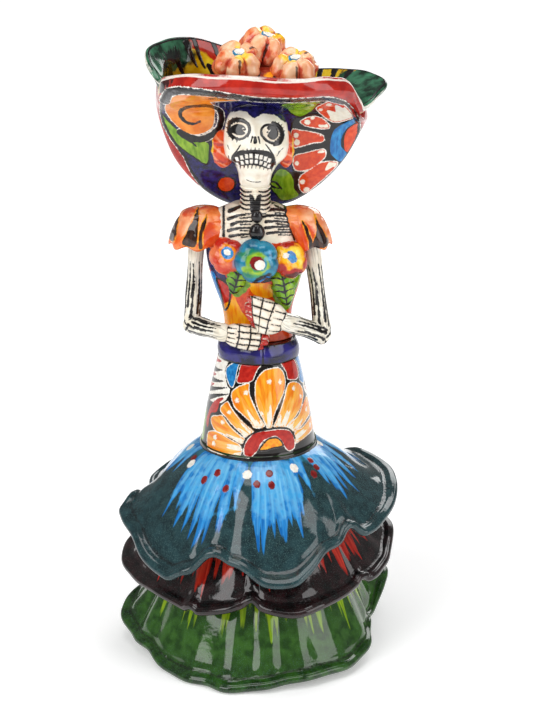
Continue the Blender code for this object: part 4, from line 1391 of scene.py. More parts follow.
    def build_sash(self) -> None:
        """Shapes and paints the sash."""
        blank = ball_blank("painted_waist_sash", 240, 60)
        up, out = column(blank, 0.3)
        end = np.clip(out, 0, 1) ** 0.6
        swell = 1.3 * np.sin(math.pi * up) + 0.35 * np.sin(blank.turn * 5 + up * 3)
        radius = (24.4 - 1.8 * up + swell) * end
        notch = -0.9 * hill(np.degrees(blank.turn) - 7, 3)
        radius = radius + notch * out
        x, y, z = radius * np.sin(blank.turn), -radius * np.cos(blank.turn), 186.6 + 11.5 * up
        write_points(blank.piece, np.stack([x, y, z], -1))
        coats = [
            Coat(INK, join(np.abs(np.degrees(blank.turn) - 7) - 1.2, z - 187.6, 197.4 - z), 0.5, 0.5,
                Brush.LOADED),
            # Painted sheen: a lighter navy band round the swell of the sash, where it catches the light.
            Coat(Glaze("navy_sheen", "2A2580", "4038A8"), np.abs(z - 193.5) - 1.6, 1.8, 2.4, Brush.STREAK,
                0.3),
        ]
        flow = np.stack([x * 0.2, y * 0.2, z * 1.2], -1)
        fire(blank.piece, "waist_sash", PaintedFinish("sash_glaze", NAVY, coats, unevenness=0.3), flow)

    def build_sleeve(self, node: str, side: int) -> None:
        """Shapes and paints one puffed sleeve, hollow at its hem.

        Args:
            node: the model's node.
            side: -1 for the left, 1 for the right.
        """
        blank = ball_blank(f"painted_{node}", 190, 120)
        down = np.clip((1 - blank.share) / 0.74, 0, 1)
        under = np.clip((0.26 - blank.share) / 0.26, 0, 1)
        profile = ((0.0, 0.0, 0.0), (0.02, 0.3, 0.28), (0.08, 0.62, 0.58), (0.32, 0.92, 0.86),
            (0.66, 1.03, 1.0), (0.9, 1.04, 1.02), (1.0, 1.03, 1.0))
        flutes = 1 + 0.045 * ease(down, 0.35, 1) * np.cos(blank.turn * 7 + side * 0.8)
        shrink = 1 - under**0.8
        wide = 15.2 * table(down, profile, 1) * flutes * np.where(under > 0, shrink, 1)
        deep = 15.2 * table(down, profile, 2) * flutes * np.where(under > 0, shrink, 1)
        inner = np.maximum(-side * np.sin(blank.turn), 0) ** 0.7
        change = 0.42 * ease(down, 0.1, 0.5) if side < 0 else -0.5 * ease(down, 0.25, 0.9)
        wide, deep = wide * (1 + change * inner), deep * (1 - 0.35 * inner * (side > 0))
        x = (-4.2 if side < 0 else -5.0) + side * (30.6 + (down - 0.55) * 6) + wide * np.sin(blank.turn)
        hem = 1.1 * np.cos(blank.turn * 7 + side * 0.8) * ease(down, 0.6, 1)
        z = 278.4 - 21.6 * down - hem * (1 - under) + np.where(under > 0,
            5.0 * np.sin(under * math.pi / 2) - 1.6 * hill(under, 0.1), 0)
        y = -deep * np.cos(blank.turn)
        write_points(blank.piece, np.stack([x, y, z], -1))
        front = np.cos(blank.turn) > 0
        if side < 0:
            flames = (
                ((-46, 271.5), (-49, 265), (-53.5, 256.5), (-53, 254), (-49.5, 255)),
                ((-35, 272.8), (-38, 268), (-41.5, 261), (-44.5, 254), (-40.5, 252.5), (-36.8, 253),
                    (-35.4, 262)),
                ((-30, 270), (-33, 265), (-34.6, 259), (-34.8, 252), (-32.5, 251.8), (-32.4, 260),
                    (-30.8, 265)),
            )
        else:
            flames = (
                ((33, 270), (36, 264), (41, 256), (41.5, 252), (36.5, 251), (31.5, 252), (34.6, 261)),
                ((25.8, 267), (29.5, 262), (32.5, 254), (34, 250.5), (30.5, 250.5), (29, 258)),
            )
        mirrored = np.where(front, x, x + side * 4)
        lift = 251.5 + (z - 256) * 0.95
        dark = join(*[patch(mirrored, lift, f) for f in flames])
        coats = [
            Coat(PEACH, spot(x, z, (side * 36 - 2, 271), 9, 8) - 1, 3.2, 3.0, Brush.BLOTCH, 0.6),
            Coat(VERMILION, join(spot(x, z, (side * 27, 262), 7, 8), spot(x, z, (side * 40, 278), 9, 3)),
                3.0, 2.2, Brush.BLOTCH, 0.85),
            # Painted highlight: a cream spot on the crown of the left sleeve, left out on the right.
            Coat(CREAM, spot(x, z, (side * 33 - 4, 279.5), 4, 1.6), 0.8, 0.8, Brush.LOADED,
                0.8 if side < 0 else 0.0),
            Coat(ORANGE, dark - 0.5, 0.3, 0.4),
            Coat(UMBER, np.where(under > 0.12, -1.0, dark), 0.45, 0.4, Brush.STREAK),
        ]
        flow = np.stack([x, z * 0.2, y], -1)
        fire(blank.piece, node, PaintedFinish(f"{node}_glaze", TANGERINE, coats, unevenness=0.2), flow)

    def build_bust_blossom(self, word: str, centre: tuple[float, float, float], tilt: float) -> None:
        """Shapes and paints one of the three bust blossoms.

        Args:
            word: left, center or right.
            centre: its middle.
            tilt: how far it turns to the side.
        """
        node = f"bust_blossom_{word}"
        blank = ball_blank(f"painted_{node}", 170, 110)
        up, flat = blank.poles()
        lobes = np.abs(np.cos(blank.turn * 2.5 + 0.5)) ** 0.6
        wide = flat * (1 - 0.13 * (1 - lobes) * flat)
        tall = up * 0.64 * (1 - 0.1 * (1 - lobes) * flat) - 0.14 * np.where(up > 0, hill(flat, 0.4), 0)
        out = np.array((tilt, -1, 0.25)) / math.sqrt(tilt**2 + 1 + 0.0625)
        across = np.cross(out, (0, 0, 1))
        across = -across / np.linalg.norm(across)
        rise = np.cross(out, across)
        radius = 13.4 if word == "center" else 11.4
        plane = np.stack([wide * np.sin(blank.turn), -wide * np.cos(blank.turn), tall], -1) * radius
        points = plane @ np.array([across, rise, out]) + np.array(centre)
        write_points(blank.piece, points)
        x, z = points[:, 0], points[:, 2] + {"left": 2.2, "center": 2.2, "right": 2.6}[word]
        if word == "left":
            ground = Glaze("coral", "C8371C", "E07A4E")
            coats = [
                Coat(RED, join(spot(x, z, (-22, 262.5), 9, 3), spot(x, z, (-11, 260), 4, 5)), 2.0, 1.6,
                    Brush.BLOTCH),
                Coat(Glaze("mauve", "7A8AA8", "B09AA8"), spot(x, z, (-11.5, 255), 2.4, 6, -20), 1.4, 1.2,
                    Brush.BLOTCH, 0.8),
                Coat(AMBER, np.abs(spot(x, z, (-18, 257.2), 4.2)) - 0.7, 0.9, 0.9, Brush.LOADED, 0.85),
                Coat(BLUE, spot(x, z, (-18, 257.2), 3.7, 3.4), 0.3, 0.3),
                Coat(CHALK, spot(x, z, (-18, 257.5), 2.0, 1.8), 0.3, 0.3),
            ]
        elif word == "center":
            ground = Glaze("turquoise", "0E5878", "2A8AA8")
            coats = [
                Coat(JADE, join(spot(x, z, (-4, 257), 6, 3), spot(x, z, (-2, 247), 7, 2.6)), 2.4, 1.8,
                    Brush.BLOTCH, 0.9),
                Coat(LIME,
                    join(np.abs(spot(x, z, (0, 252.5), 5.9, 5.4)) - 0.9, spot(x, z, (-8, 249.5), 2.4, 1.6)),
                    1.4, 1.2, Brush.BLOTCH, 0.85),
                Coat(ICE, join(spot(x, z, (6.5, 255.5), 3.5, 1.0), spot(x, z, (7, 259), 4, 0.8)), 1.0, 1.0,
                    Brush.STREAK, 0.5),
                Coat(INK, join(spot(x, z, (3.5, 241.2), 7.5, 4.2, 15), spot(x, z, (6, 246), 2.6, 1.6)), 1.2,
                    0.8, Brush.BLOTCH),
                Coat(SKY,
                    join(spot(x, z, (2.5, 242.2), 2.2, 0.7, 20), spot(x, z, (6.5, 244), 1.6, 0.6, -20)),
                    0.6, 0.6),
                Coat(GARNET, spot(x, z, (-0.4, 253), 4.4, 3.9, -25), 0.4, 0.3),
                Coat(CHALK, spot(x, z, (1.2, 251.9), 3.1, 2.8), 0.3, 0.3),
            ]
        else:
            ground = AMBER
            coats = [
                Coat(YELLOW, join(spot(x, z, (20, 257), 6, 5), spot(x, z, (24, 251), 3, 5)), 2.6, 2.0,
                    Brush.BLOTCH),
                Coat(
                    RED,
                    join(spot(x, z, (17, 262.4), 11, 2.2), spot(x, z, (28.4, 253), 1.8, 8),
                        spot(x, z, (13, 247), 4, 4), spot(x, z, (20, 244.5), 6, 3)),
                    1.8, 1.4, Brush.BLOTCH,
                ),
                Coat(UMBER, join(spot(x, z, (19, 243), 5, 1.6)), 1.6, 1.0, Brush.BLOTCH, 0.8),
                Coat(BLUE, spot(x, z, (20, 254.8), 2.4, 4.2, 28), 0.6, 0.5, Brush.LOADED),
                Coat(CHALK, spot(x, z, (16.3, 256), 1.9, 1.6), 0.4, 0.3),
            ]
        fire(blank.piece, node, PaintedFinish(f"{node}_glaze", ground, coats, unevenness=0.25),
            np.stack([x, z * 0.2, x * 0], -1))

    def build_leaf(self, node: str, x0: float, z0: float, lean: float) -> None:
        """Shapes and paints one hanging leaf.

        Args:
            node: the model's node.
            x0: its middle, across.
            z0: its middle's height.
            lean: how far it leans, in degrees.
        """
        blank = ball_blank(f"painted_{node}", 130, 110)
        up, flat = blank.poles()
        notches = 1 + 0.09 * np.cos(up * 14) * ease(np.abs(np.sin(blank.turn)), 0.3, 1)
        across = 7.0 * flat * np.sin(blank.turn) * (1 - 0.35 * np.maximum(-up, 0)) * notches
        along = 12.5 * up
        out = 4.6 * flat * np.cos(blank.turn) - 0.9 * hill(across, 1.2) * np.where(np.cos(blank.turn) > 0,
            1, 0) * flat
        c, s = math.cos(math.radians(lean)), math.sin(math.radians(lean))
        write_points(blank.piece,
            np.stack([x0 + across * c + along * s, -17.0 - out, z0 - across * s + along * c], -1))
        veins = [
            stroke(across, along,
                ((0, 9 - 4.0 * k), (side * 3, 10.5 - 4.0 * k), (side * 6.5, 10 - 4.0 * k)), 0.65, 0.25
            ) for k in range(6) for side in (-1, 1)
        ]
        coats = [
            Coat(LIME, join(spot(across, along, (-3, 6), 3, 4), spot(across, along, (3.5, -3), 2, 6)), 2.0,
                1.6, Brush.BLOTCH, 0.8),
            Coat(JADE, spot(across, along, (2, 7), 3, 3), 2.0, 1.4, Brush.BLOTCH, 0.7),
            Coat(INK, join(stroke(across, along, ((0, 11), (0.4, 0), (0, -11)), 0.8, 0.3), *veins), 0.4,
                0.3, Brush.LOADED),
        ]
        fire(blank.piece, node,
            PaintedFinish(f"{node}_glaze", Glaze("grass", "3F7410", "6FA01C"), coats, unevenness=0.3))

    def build_bead(self, node: str, z0: float, depth: float, size: float) -> None:
        """Shapes and glazes one black bead on the breastbone.

        Args:
            node: the model's node.
            z0: its height.
            depth: how far forward it sits.
            size: its radius.
        """
        blank = ball_blank(f"painted_{node}", 90, 60)
        up, flat = blank.poles()
        pinch = 1 - 0.1 * np.maximum(up, 0) * flat
        cleft = 1 - 0.12 * hill(blank.turn, 0.25) * ease(up, 0.0, 0.6)
        x = self.lean / 2 + 0.6 + size * flat * np.sin(blank.turn) * pinch
        y = -depth - size * 0.8 * flat * np.cos(blank.turn) * cleft
        z = z0 + size * 1.12 * up
        write_points(blank.piece, np.stack([x, y, z], -1))
        glint = Coat(Glaze("grey", "2A2A2E", "5E5E62"), spot(x, z, (size * 0.3, z0 + size * 0.3), 1.0, 0.5),
            0.8, 1.0, Brush.LOADED, 0.5)
        fire(blank.piece, node, PaintedFinish(f"{node}_glaze", INK, [glint], roughness=0.05))

    def build(self) -> None:
        """Builds the bodice from the sash up."""
        self.build_sash()
        self.build_torso()
        for node, side in (("sleeve_left", -1), ("sleeve_right", 1)):
            self.build_sleeve(node, side)
        for word, centre, tilt in (("left", (-18.25, -15.5, 251.7), -0.45),
            ("center", (-0.75, -22.0, 250.4), 0.02), ("right", (18.8, -15.0, 249.0), 0.5)):
            self.build_bust_blossom(word, centre, tilt)
        self.build_leaf("leaf_left", -12.0, 240.6, 14)
        self.build_leaf("leaf_right", 15.2, 233.6, -10)
        self.build_bead("bead_upper", 275.0, 13.6, 3.5)
        self.build_bead("bead_lower", 266.0, 15.8, 4.8)


# ---------------------------------------------------------------- the arms


@dataclass
class Arm:
    """One bony arm: upper arm, forearm and the flat hand across the bodice."""

    word: str
    side: int
    wrist: tuple[float, float, float]
    tips: tuple[float, float, float]
    hand_wide: float
    overreach: float = 1.0
    slant: float = 0.0
    upper_radius: float = 5.2
    lower_radius: float = 5.8

    @property
    def shoulder(self) -> Points:
        """Where the upper arm starts, up in the sleeve."""
        return np.array((-36.4 if self.side < 0 else 31.6, 0.0, 259.0))

    @property
    def elbow(self) -> Points:
        """Where the two arm pieces meet."""
        return np.array((-39.6, -4.0, 206.4) if self.side < 0 else (38.2, -4.0, 200.6))

    def _limb(self, node: str, start: Points, end: Points, radii: tuple[float, float], knob: float,
            streaky: float) -> None:
        """Rolls one length of arm and streaks it with black.

        Args:
            node: the model's node.
            start: where it starts.
            end: where it ends.
            radii: its radius at each end.
            knob: how far the joint at its start swells.
            streaky: how far the streaks run, as a share of their usual length.
        """
        blank = ball_blank(f"painted_{node}", 110, 170)
        axis = end - start
        length = float(np.linalg.norm(axis))
        axis = axis / length
        across = np.cross((0, 1, 0), axis)
        across /= np.linalg.norm(across)
        out = np.cross(axis, across)
        up, flat = column(blank, 0.13)
        reach = np.where(blank.share < 0.13, -(1 - flat**2) ** 0.5 * radii[0] * 0.8, 0)
        reach = np.where(blank.share > 0.87, (1 - flat**2) ** 0.5 * radii[1] * 0.8, reach)
        along = up * length + reach
        taper = radii[0] + (radii[1] - radii[0]) * up
        radius = taper + knob * hill(up, 0.09) + 0.25 * np.sin(up * 9 + self.side)
        radius = radius * (1 + 0.05 * np.cos(blank.turn * 2 + 0.7) + 0.02 * np.sin(blank.turn * 5 + up * 4)
        ) * flat
        offset = across * (
            radius * np.sin(blank.turn))[:, None] - out * (radius * np.cos(blank.turn))[:, None]
        write_points(blank.piece, start + axis * along[:, None] + offset)
        u = blank.turn * radii[0]
        streaks = []
        for k in range(11):
            at = -15 + 2.9 * k + 0.6 * math.sin(k * 2.3)
            first = (0.03 + 0.31 * ((k * 0.37) % 1)) * length
            size = (0.38 + 0.36 * ((k * 0.61) % 1)) * length * streaky
            path = ((at, first), (at + 0.5, first + size * 0.5), (at - 0.3, first + size))
            streaks.append(stroke(u, along, path, 0.9 if k % 3 else 1.2, 0.35))
            if k % 2:
                streaks.append(
                    stroke(u, along, ((at + 1.2, first + 4), (at + 1.5, first + size * 0.6)), 0.35, 0.2))
        for k in range(5):
            at = -13.5 + 6.2 * k
            streaks.append(
                stroke(u, along, ((at, 2), (at + 0.8, length * 0.3), (at + 0.2, length * 0.62 * streaky)),
                    1.0, 0.25)
            )
        for k in range(4):
            streaks.append(
                stroke(u, along, ((-16 + 8.5 * k, 1.5), (-12 + 8.5 * k, -1.5), (-8.5 + 8.5 * k, 2.5)), 0.75,
                    0.4)
            )
        drag = np.full(len(u), 0.62)
        coats = [
            Coat(Glaze("ash", "6E685E", "A09A8C"), drag - 0.12, 1.3, 0.9, Brush.STREAK, 0.8),
            Coat(INK, join(*streaks), 0.38, 0.35, Brush.LOADED),
        ]
        flow = np.stack([u * 1.5, along * 0.12, u * 0], -1)
        fire(blank.piece, node, PaintedFinish(f"{node}_glaze", CREAM, coats, roughness=0.1), flow)

    def _hand(self) -> None:
        """Presses the flat hand with its four fingers, and draws the bones and nails."""
        node = f"hand_{self.word}"
        blank = ball_blank(f"painted_{node}", 230, 180)
        start, end = np.array(self.wrist), np.array(self.tips)
        axis = end - start
        length = float(np.linalg.norm(axis)) * self.overreach
        axis = axis / np.linalg.norm(axis)
        across = np.cross(axis, (0, 1, 0))
        across /= np.linalg.norm(across)
        through = np.cross(across, axis)
        up, out = column(blank, 0.07)
        rows = ((0, 0.5, 0.85), (0.12, 0.78, 1.0), (0.35, 0.98, 1.05), (0.7, 1.0, 0.95), (0.92, 0.93, 0.78),
            (1, 0.86, 0.6))
        c, s = np.sin(blank.turn), np.cos(blank.turn)
        wide = self.hand_wide / 2 * table(up, rows, 1) * np.sign(c) * np.abs(c) ** 0.75 * out
        thick = 4.2 * table(up, rows, 2) * np.sign(s) * np.abs(s) ** 0.75 * out
        lane = wide / self.hand_wide * 4
        gap = hill(np.abs(lane - np.round(lane)) * self.hand_wide / 4, 0.8) * (np.abs(lane) < 1.5)
        fingers = ease(up, 0.4, 0.6)
        thick = thick * (1 - 0.42 * gap * fingers * (s > 0))
        stagger = -1.7 * (np.abs(lane) ** 1.6) * ease(up, 0.6, 1) - 1.6 * gap * ease(up, 0.85, 1)
        drawn = up * length + stagger
        along = drawn - self.slant * (wide + self.hand_wide / 2) * ease(up, 0.3, 1)
        bow = -1.4 * np.sin(math.pi * up)
        outward = -through if through[1] > 0 else through
        points = start + axis * along[:, None] + across * wide[:, None] + outward * thick[:, None]
        points[:, 1] += bow
        write_points(blank.piece, points)
        half = self.hand_wide / 2
        lines = []
        for k in (-1, 0, 1):
            lines.append(
                stroke(drawn, wide, ((length * 0.3, k * half * 0.5), (length * 0.96, k * half * 0.5)), 0.5))
        for share in (0.02, 0.3, 0.55, 0.78):
            lines.append(
                stroke(drawn, wide,
                    ((length * share, -half), (length * share + 1, 0), (length * share, half)), 0.55, 0.45)
            )
        for k in range(6):
            at = -half + 1.2 + k * half * 0.36
            lines.append(stroke(drawn, wide, ((length * 0.06, at), (length * 0.26, at * 1.1)), 0.5, 0.2))
        lines.append(np.abs(np.abs(wide) - half * 0.93) - 0.3 + NEVER * (s < -0.2))
        nails = []
        for k in range(4):
            middle = (k - 1.5) * half * 0.5
            nails.append(spot(drawn, wide, (length * 0.93 - 0.5 * abs(k - 1.5) ** 1.6, middle), 3.0, 1.5))
        nails.append(NEVER * (drawn < length * 0.82) - 0.2 + NEVER * (s < 0))
        fronts = s > -0.35
        coats = [
            Coat(BISQUE, join(*lines) - 0.7, 0.6, 1.2, Brush.LOADED, 0.3),
            Coat(INK, front_only(fronts, join(*lines)), 0.3, 0.25, Brush.FINE),
            Coat(RED, front_only(fronts, join(*nails)), 0.35, 0.3, Brush.LOADED),
            Coat(
                CREAM,
                front_only(fronts,
                    stroke(drawn, wide, ((length * 0.86, 1.5), (length * 0.97, 1.2)), 0.3, 0.1)),
                0.2, 0.4, Brush.FINE, 0.8,
            ),
        ]
        fire(blank.piece, node, PaintedFinish(f"{node}_glaze", CREAM, coats, roughness=0.09, unevenness=0.2))

    def build(self) -> None:
        """Builds the arm from the shoulder down."""
        r, s = self.upper_radius, self.lower_radius
        self._limb(f"upper_arm_{self.word}", self.elbow + (0, 0, 3), self.shoulder, (r, r * 0.96), 0.5, 1.0)
        self._limb(f"forearm_{self.word}", self.elbow, np.array(self.wrist), (s * 1.05, s * 0.95), 0.6, 1.35)
        self._hand()


# ---------------------------------------------------------------- the skirt


@dataclass
class Skirt:
    """The turned skirt body: the painted hips over the hollow pedestal."""

    hip_base: float = 128.0
    hip_height: float = 58.3

    @staticmethod
    def pedestal_radius(z: Field) -> Field:
        """How wide the pedestal is at a height."""
        return 35.5 + 21.5 * np.clip(1 - np.asarray(z) / 133, 0, 1) ** 1.25

    def build_hips(self) -> None:
        """Shapes and paints the hips."""
        blank = ball_blank("painted_hip_skirt", 380, 170)
        up, out = column(blank, 0.08)
        radius = 35.5 - 11.0 * up + 0.9 * np.sin(math.pi * up) + ripple(blank.turn,
            ((3, 0.12, 0.4), (7, 0.08, 1.0)))
        radius = radius + 0.8 * ease(-self.hip_base - self.hip_height * up, -134, -131)
        radius = np.where(blank.share > 0.5, radius * out ** 0.8, radius * out)
        z = self.hip_base + self.hip_height * up
        x, y = radius * np.sin(blank.turn), -radius * np.cos(blank.turn)
        write_points(blank.piece, np.stack([x, y, z], -1))
        lap = (blank.turn + math.pi / 2) % math.pi - math.pi / 2
        u = lap * 30
        finish = PaintedFinish("hip_skirt_glaze", Glaze("black", "0C0A0A", "1C1614"), self._painting(u, z),
            roughness=0.06)
        angle = np.arctan2(z - 137, u - 7)
        fire(blank.piece, "hip_skirt", finish,
            np.stack([angle * 26, np.hypot(z - 137, u - 7) * 0.14, u * 0], -1))

    def _painting(self, u: Field, z: Field) -> list[Coat]:
        """Paints the half sunflower, its petals ringed in white, with red and blue leaves and thorny sides.

        Args:
            u: distance round the skirt.
            z: height.

        Returns:
            The coats in the order that they are laid.
        """
        petals = (
            ((-2, 172), (-1.5, 177.5), (2.5, 182.5), (7.5, 184.5), (15, 184.5), (18.5, 181.5), (19.5, 176),
                (17, 169.5), (13, 163.5), (9, 156.5), (7.5, 150), (5, 150), (3, 155), (-0.5, 162.5)),
            ((-18, 168.5), (-15, 172.5), (-10, 175), (-6, 176), (-6, 172), (-4.5, 167.5), (-2, 162.5),
                (1, 156), (3.5, 151), (-2, 150), (-4.5, 153.5), (-9.5, 157.5), (-15, 161.5)),
            ((-25, 157), (-24, 160.5), (-20, 163.5), (-17.5, 161), (-13, 156.5), (-8.5, 152.5),
                (-3.5, 148.5), (-3, 147), (-7, 144), (-10, 146.5), (-15.5, 150.5), (-20, 154)),
            ((-32.5, 148), (-32, 151.5), (-26.5, 153.5), (-23, 154.5), (-19.5, 152), (-15.5, 148.5),
                (-10.5, 145), (-7.5, 143), (-9, 140), (-14.5, 142), (-21, 143.5), (-27, 144)),
            ((-33.5, 133.5), (-34.5, 140), (-28.5, 143.5), (-22.5, 143.5), (-15, 141), (-9.5, 138.5),
                (-9.5, 132.5), (-15.5, 132), (-22.5, 131.5), (-29.5, 131.5)),
            ((21, 173.5), (27.5, 174), (34.5, 170), (36, 165), (31.5, 159.5), (25, 154.5), (19.5, 151),
                (16, 149), (9, 150), (10.5, 153.5), (14, 160), (17, 166.5)),
            ((40.5, 161.5), (45, 156.5), (44.5, 151), (34.5, 149), (26.5, 146.5), (21, 145.5),
                (16.5, 147.5), (20, 151), (26.5, 154), (32, 158.5)),
            ((45.5, 148), (45.5, 143.5), (42.5, 140), (32, 139.5), (25.5, 138.5), (21.5, 138), (22, 145),
                (27, 145.5), (35, 147.5)),
        )
        blades = join(*[patch(u, z, p) for p in petals]) + 0.35
        dots = ((7.5, 177), (15.5, 176), (-8, 170.5), (-13.5, 165), (-18, 157.5), (-22, 150.5),
            (-26.5, 140), (-27, 136), (25.5, 170.5), (31.5, 164), (36, 154.5), (38, 144))
        red_left = patch(
            u, z,
            ((-12, 187), (-2.5, 187.5), (2.5, 187.5), (-1, 184), (-4, 178), (-8.5, 176.5), (-14.5, 176),
                (-14, 180.5)),
        )
        blue_left = patch(u, z,
            ((-19.5, 186.5), (-15, 187.5), (-16, 182), (-17, 174), (-19.5, 173), (-24, 178), (-25, 182.5)))
        red_right = patch(
            u, z,
            ((17.5, 188), (23.5, 188), (30.5, 187.5), (34.5, 182), (32.5, 175.5), (22.5, 176.5), (21.5, 181)
            ),
        )
        blue_right = patch(u, z,
            ((35, 188), (44.5, 187), (45, 181), (45, 173.5), (40.5, 170), (34.5, 173.5), (37.5, 179.5)))
        white = join(
            patch(
                u, z,
                ((-47, 185.5), (-26, 188), (-26.5, 181), (-22.5, 173), (-19.5, 170.5), (-21, 165.5),
                    (-26, 161.5), (-39, 159.5), (-47, 162)),
            ),
            patch(u, z, ((40, 174), (47, 175), (47, 160), (42, 162.5), (38.5, 166.5))),
        )
        thorns = [
            stroke(u, z, path, 2.0, 0.2) for path in (((-47, 177.5), (-38, 178.6), (-29.5, 180.5)),
                ((-47, 171), (-36, 172.5), (-25.5, 174.5)), ((-47, 164.5), (-34, 168), (-22, 171.5)),
                ((-42, 160), (-31, 164.5), (-20, 168)), ((47, 168), (43, 168.5), (40.5, 168)))
        ]
        red_thorns = [
            stroke(u, z, path, 1.9, 0.2) for path in (((-47, 183.5), (-40, 184), (-33, 185)),
                ((-47, 174.5), (-42, 175), (-37, 176)), ((-47, 167.5), (-42, 168.5), (-37, 170)),
                ((47, 164), (44, 165), (41, 167)))
        ]
        red_low = patch(
            u, z,
            ((-38.5, 150.5), (-35.5, 157), (-30, 162.5), (-23.5, 165), (-26.5, 161), (-28, 155.5),
                (-34.5, 152), (-35.5, 143.5), (-39.5, 146)),
        )
        half_ring = patch(
            u, z,
            ((-7.5, 137), (-6.5, 141), (-4.5, 144), (-1, 147), (6, 148), (12, 148), (17.5, 146.5),
                (20, 143.5), (21, 139), (20, 135), (16, 135), (13.5, 140.5), (10, 144.5), (6, 144),
                (2, 141.5), (-0.5, 136.5), (-4.5, 132), (-7, 133.5)),
        )
        disc = patch(
            u, z,
            ((0.5, 136.5), (2.5, 140), (5.5, 143), (9.5, 143.5), (12, 142), (13.5, 138), (8, 137.5),
                (4.5, 136.5)),
        )
        from_heart = np.hypot(u - 7, z - 137)
        angle = np.degrees(np.arctan2(z - 137, u - 7))
        tongues = from_heart - 21 - 4.5 * np.cos(
            np.radians(angle * 24)) - 2.0 * np.cos(np.radians(angle * 57))
        return [
            Coat(
                CHALK,
                join(blades - 0.55, red_left - 0.5, blue_left - 0.5, red_right - 0.5, blue_right - 0.5,
                    half_ring - 0.45, disc - 0.45, white - 0.2),
                0.35, 0.25, Brush.FINE,
            ), Coat(ORANGE, blades, 0.3, 0.3, Brush.STREAK),
            Coat(Glaze("apricot", "F3A238", "F8CC70"), within(blades + 0.3, tongues - 8), 1.2, 2.2,
                Brush.STREAK, 0.75),
            Coat(CREAM, join(within(blades + 0.3, tongues), *[spot(u, z, at, 1.35) for at in dots]), 0.8,
                0.7, Brush.FINE),
            Coat(RED, join(red_left, red_right, half_ring, red_low, *red_thorns), 0.3, 0.3, Brush.LOADED),
            Coat(BLUE, join(blue_left, blue_right), 0.3, 0.3, Brush.LOADED),
            Coat(AMBER, disc, 0.3, 0.3, Brush.LOADED),
            Coat(LEAF, patch(u, z, ((-47, 152), (-41, 150), (-40, 143), (-40, 134), (-47, 133))), 0.5, 0.4,
                Brush.LOADED),
            Coat(
                INK,
                join(
                    *thorns,
                    stroke(u, z,
                        ((-8, 138), (-6.5, 143), (-2, 147), (6, 149), (13, 149), (19, 146.5), (21.5, 141)),
                        0.55),
                    np.abs(disc) - 0.5, z - 130.6, 186.6 - z,
                ), 0.3, 0.3,
            ),
        ]

    def build_pedestal(self) -> None:
        """Turns the hollow pedestal with its foot ring."""
        outer = [(float(self.pedestal_radius(z)), z) for z in np.linspace(132.7, 3.0, 40)]
        foot = [(57.2, 1.2), (56.6, 0.3), (55.5, 0.0), (53.4, 0.0), (52.4, 0.4), (52.0, 1.4)]
        inner = [(float(self.pedestal_radius(z)) - 5, z) for z in np.linspace(4.0, 128.0, 36)]
        piece = turned_piece("painted_skirt_pedestal", [*outer, *foot, *inner, (30.6, 132.7)], 180)
        p = _read(piece) / MM
        radius, z = np.hypot(p[:, 0], p[:, 1]), p[:, 2]
        inside = radius < self.pedestal_radius(z) - 3
        coats = [
            Coat(BISQUE, join(np.where(inside, -1.0, NEVER), z - 1.0), 0.8, 0.8, Brush.LOADED),
            Coat(MOSS, np.where(inside, NEVER, np.abs(np.sin(np.arctan2(p[:, 0], p[:, 1]) * 9)) * 5 - 1.5),
                2.0, 2.0, Brush.BLOTCH, 0.7),
        ]
        fire(piece, "skirt_pedestal",
            PaintedFinish("pedestal_glaze", Glaze("deep_green", "0E1F0C", "1E3A18"), coats))

    def build(self) -> None:
        """Builds the skirt body."""
        self.build_hips()
        self.build_pedestal()


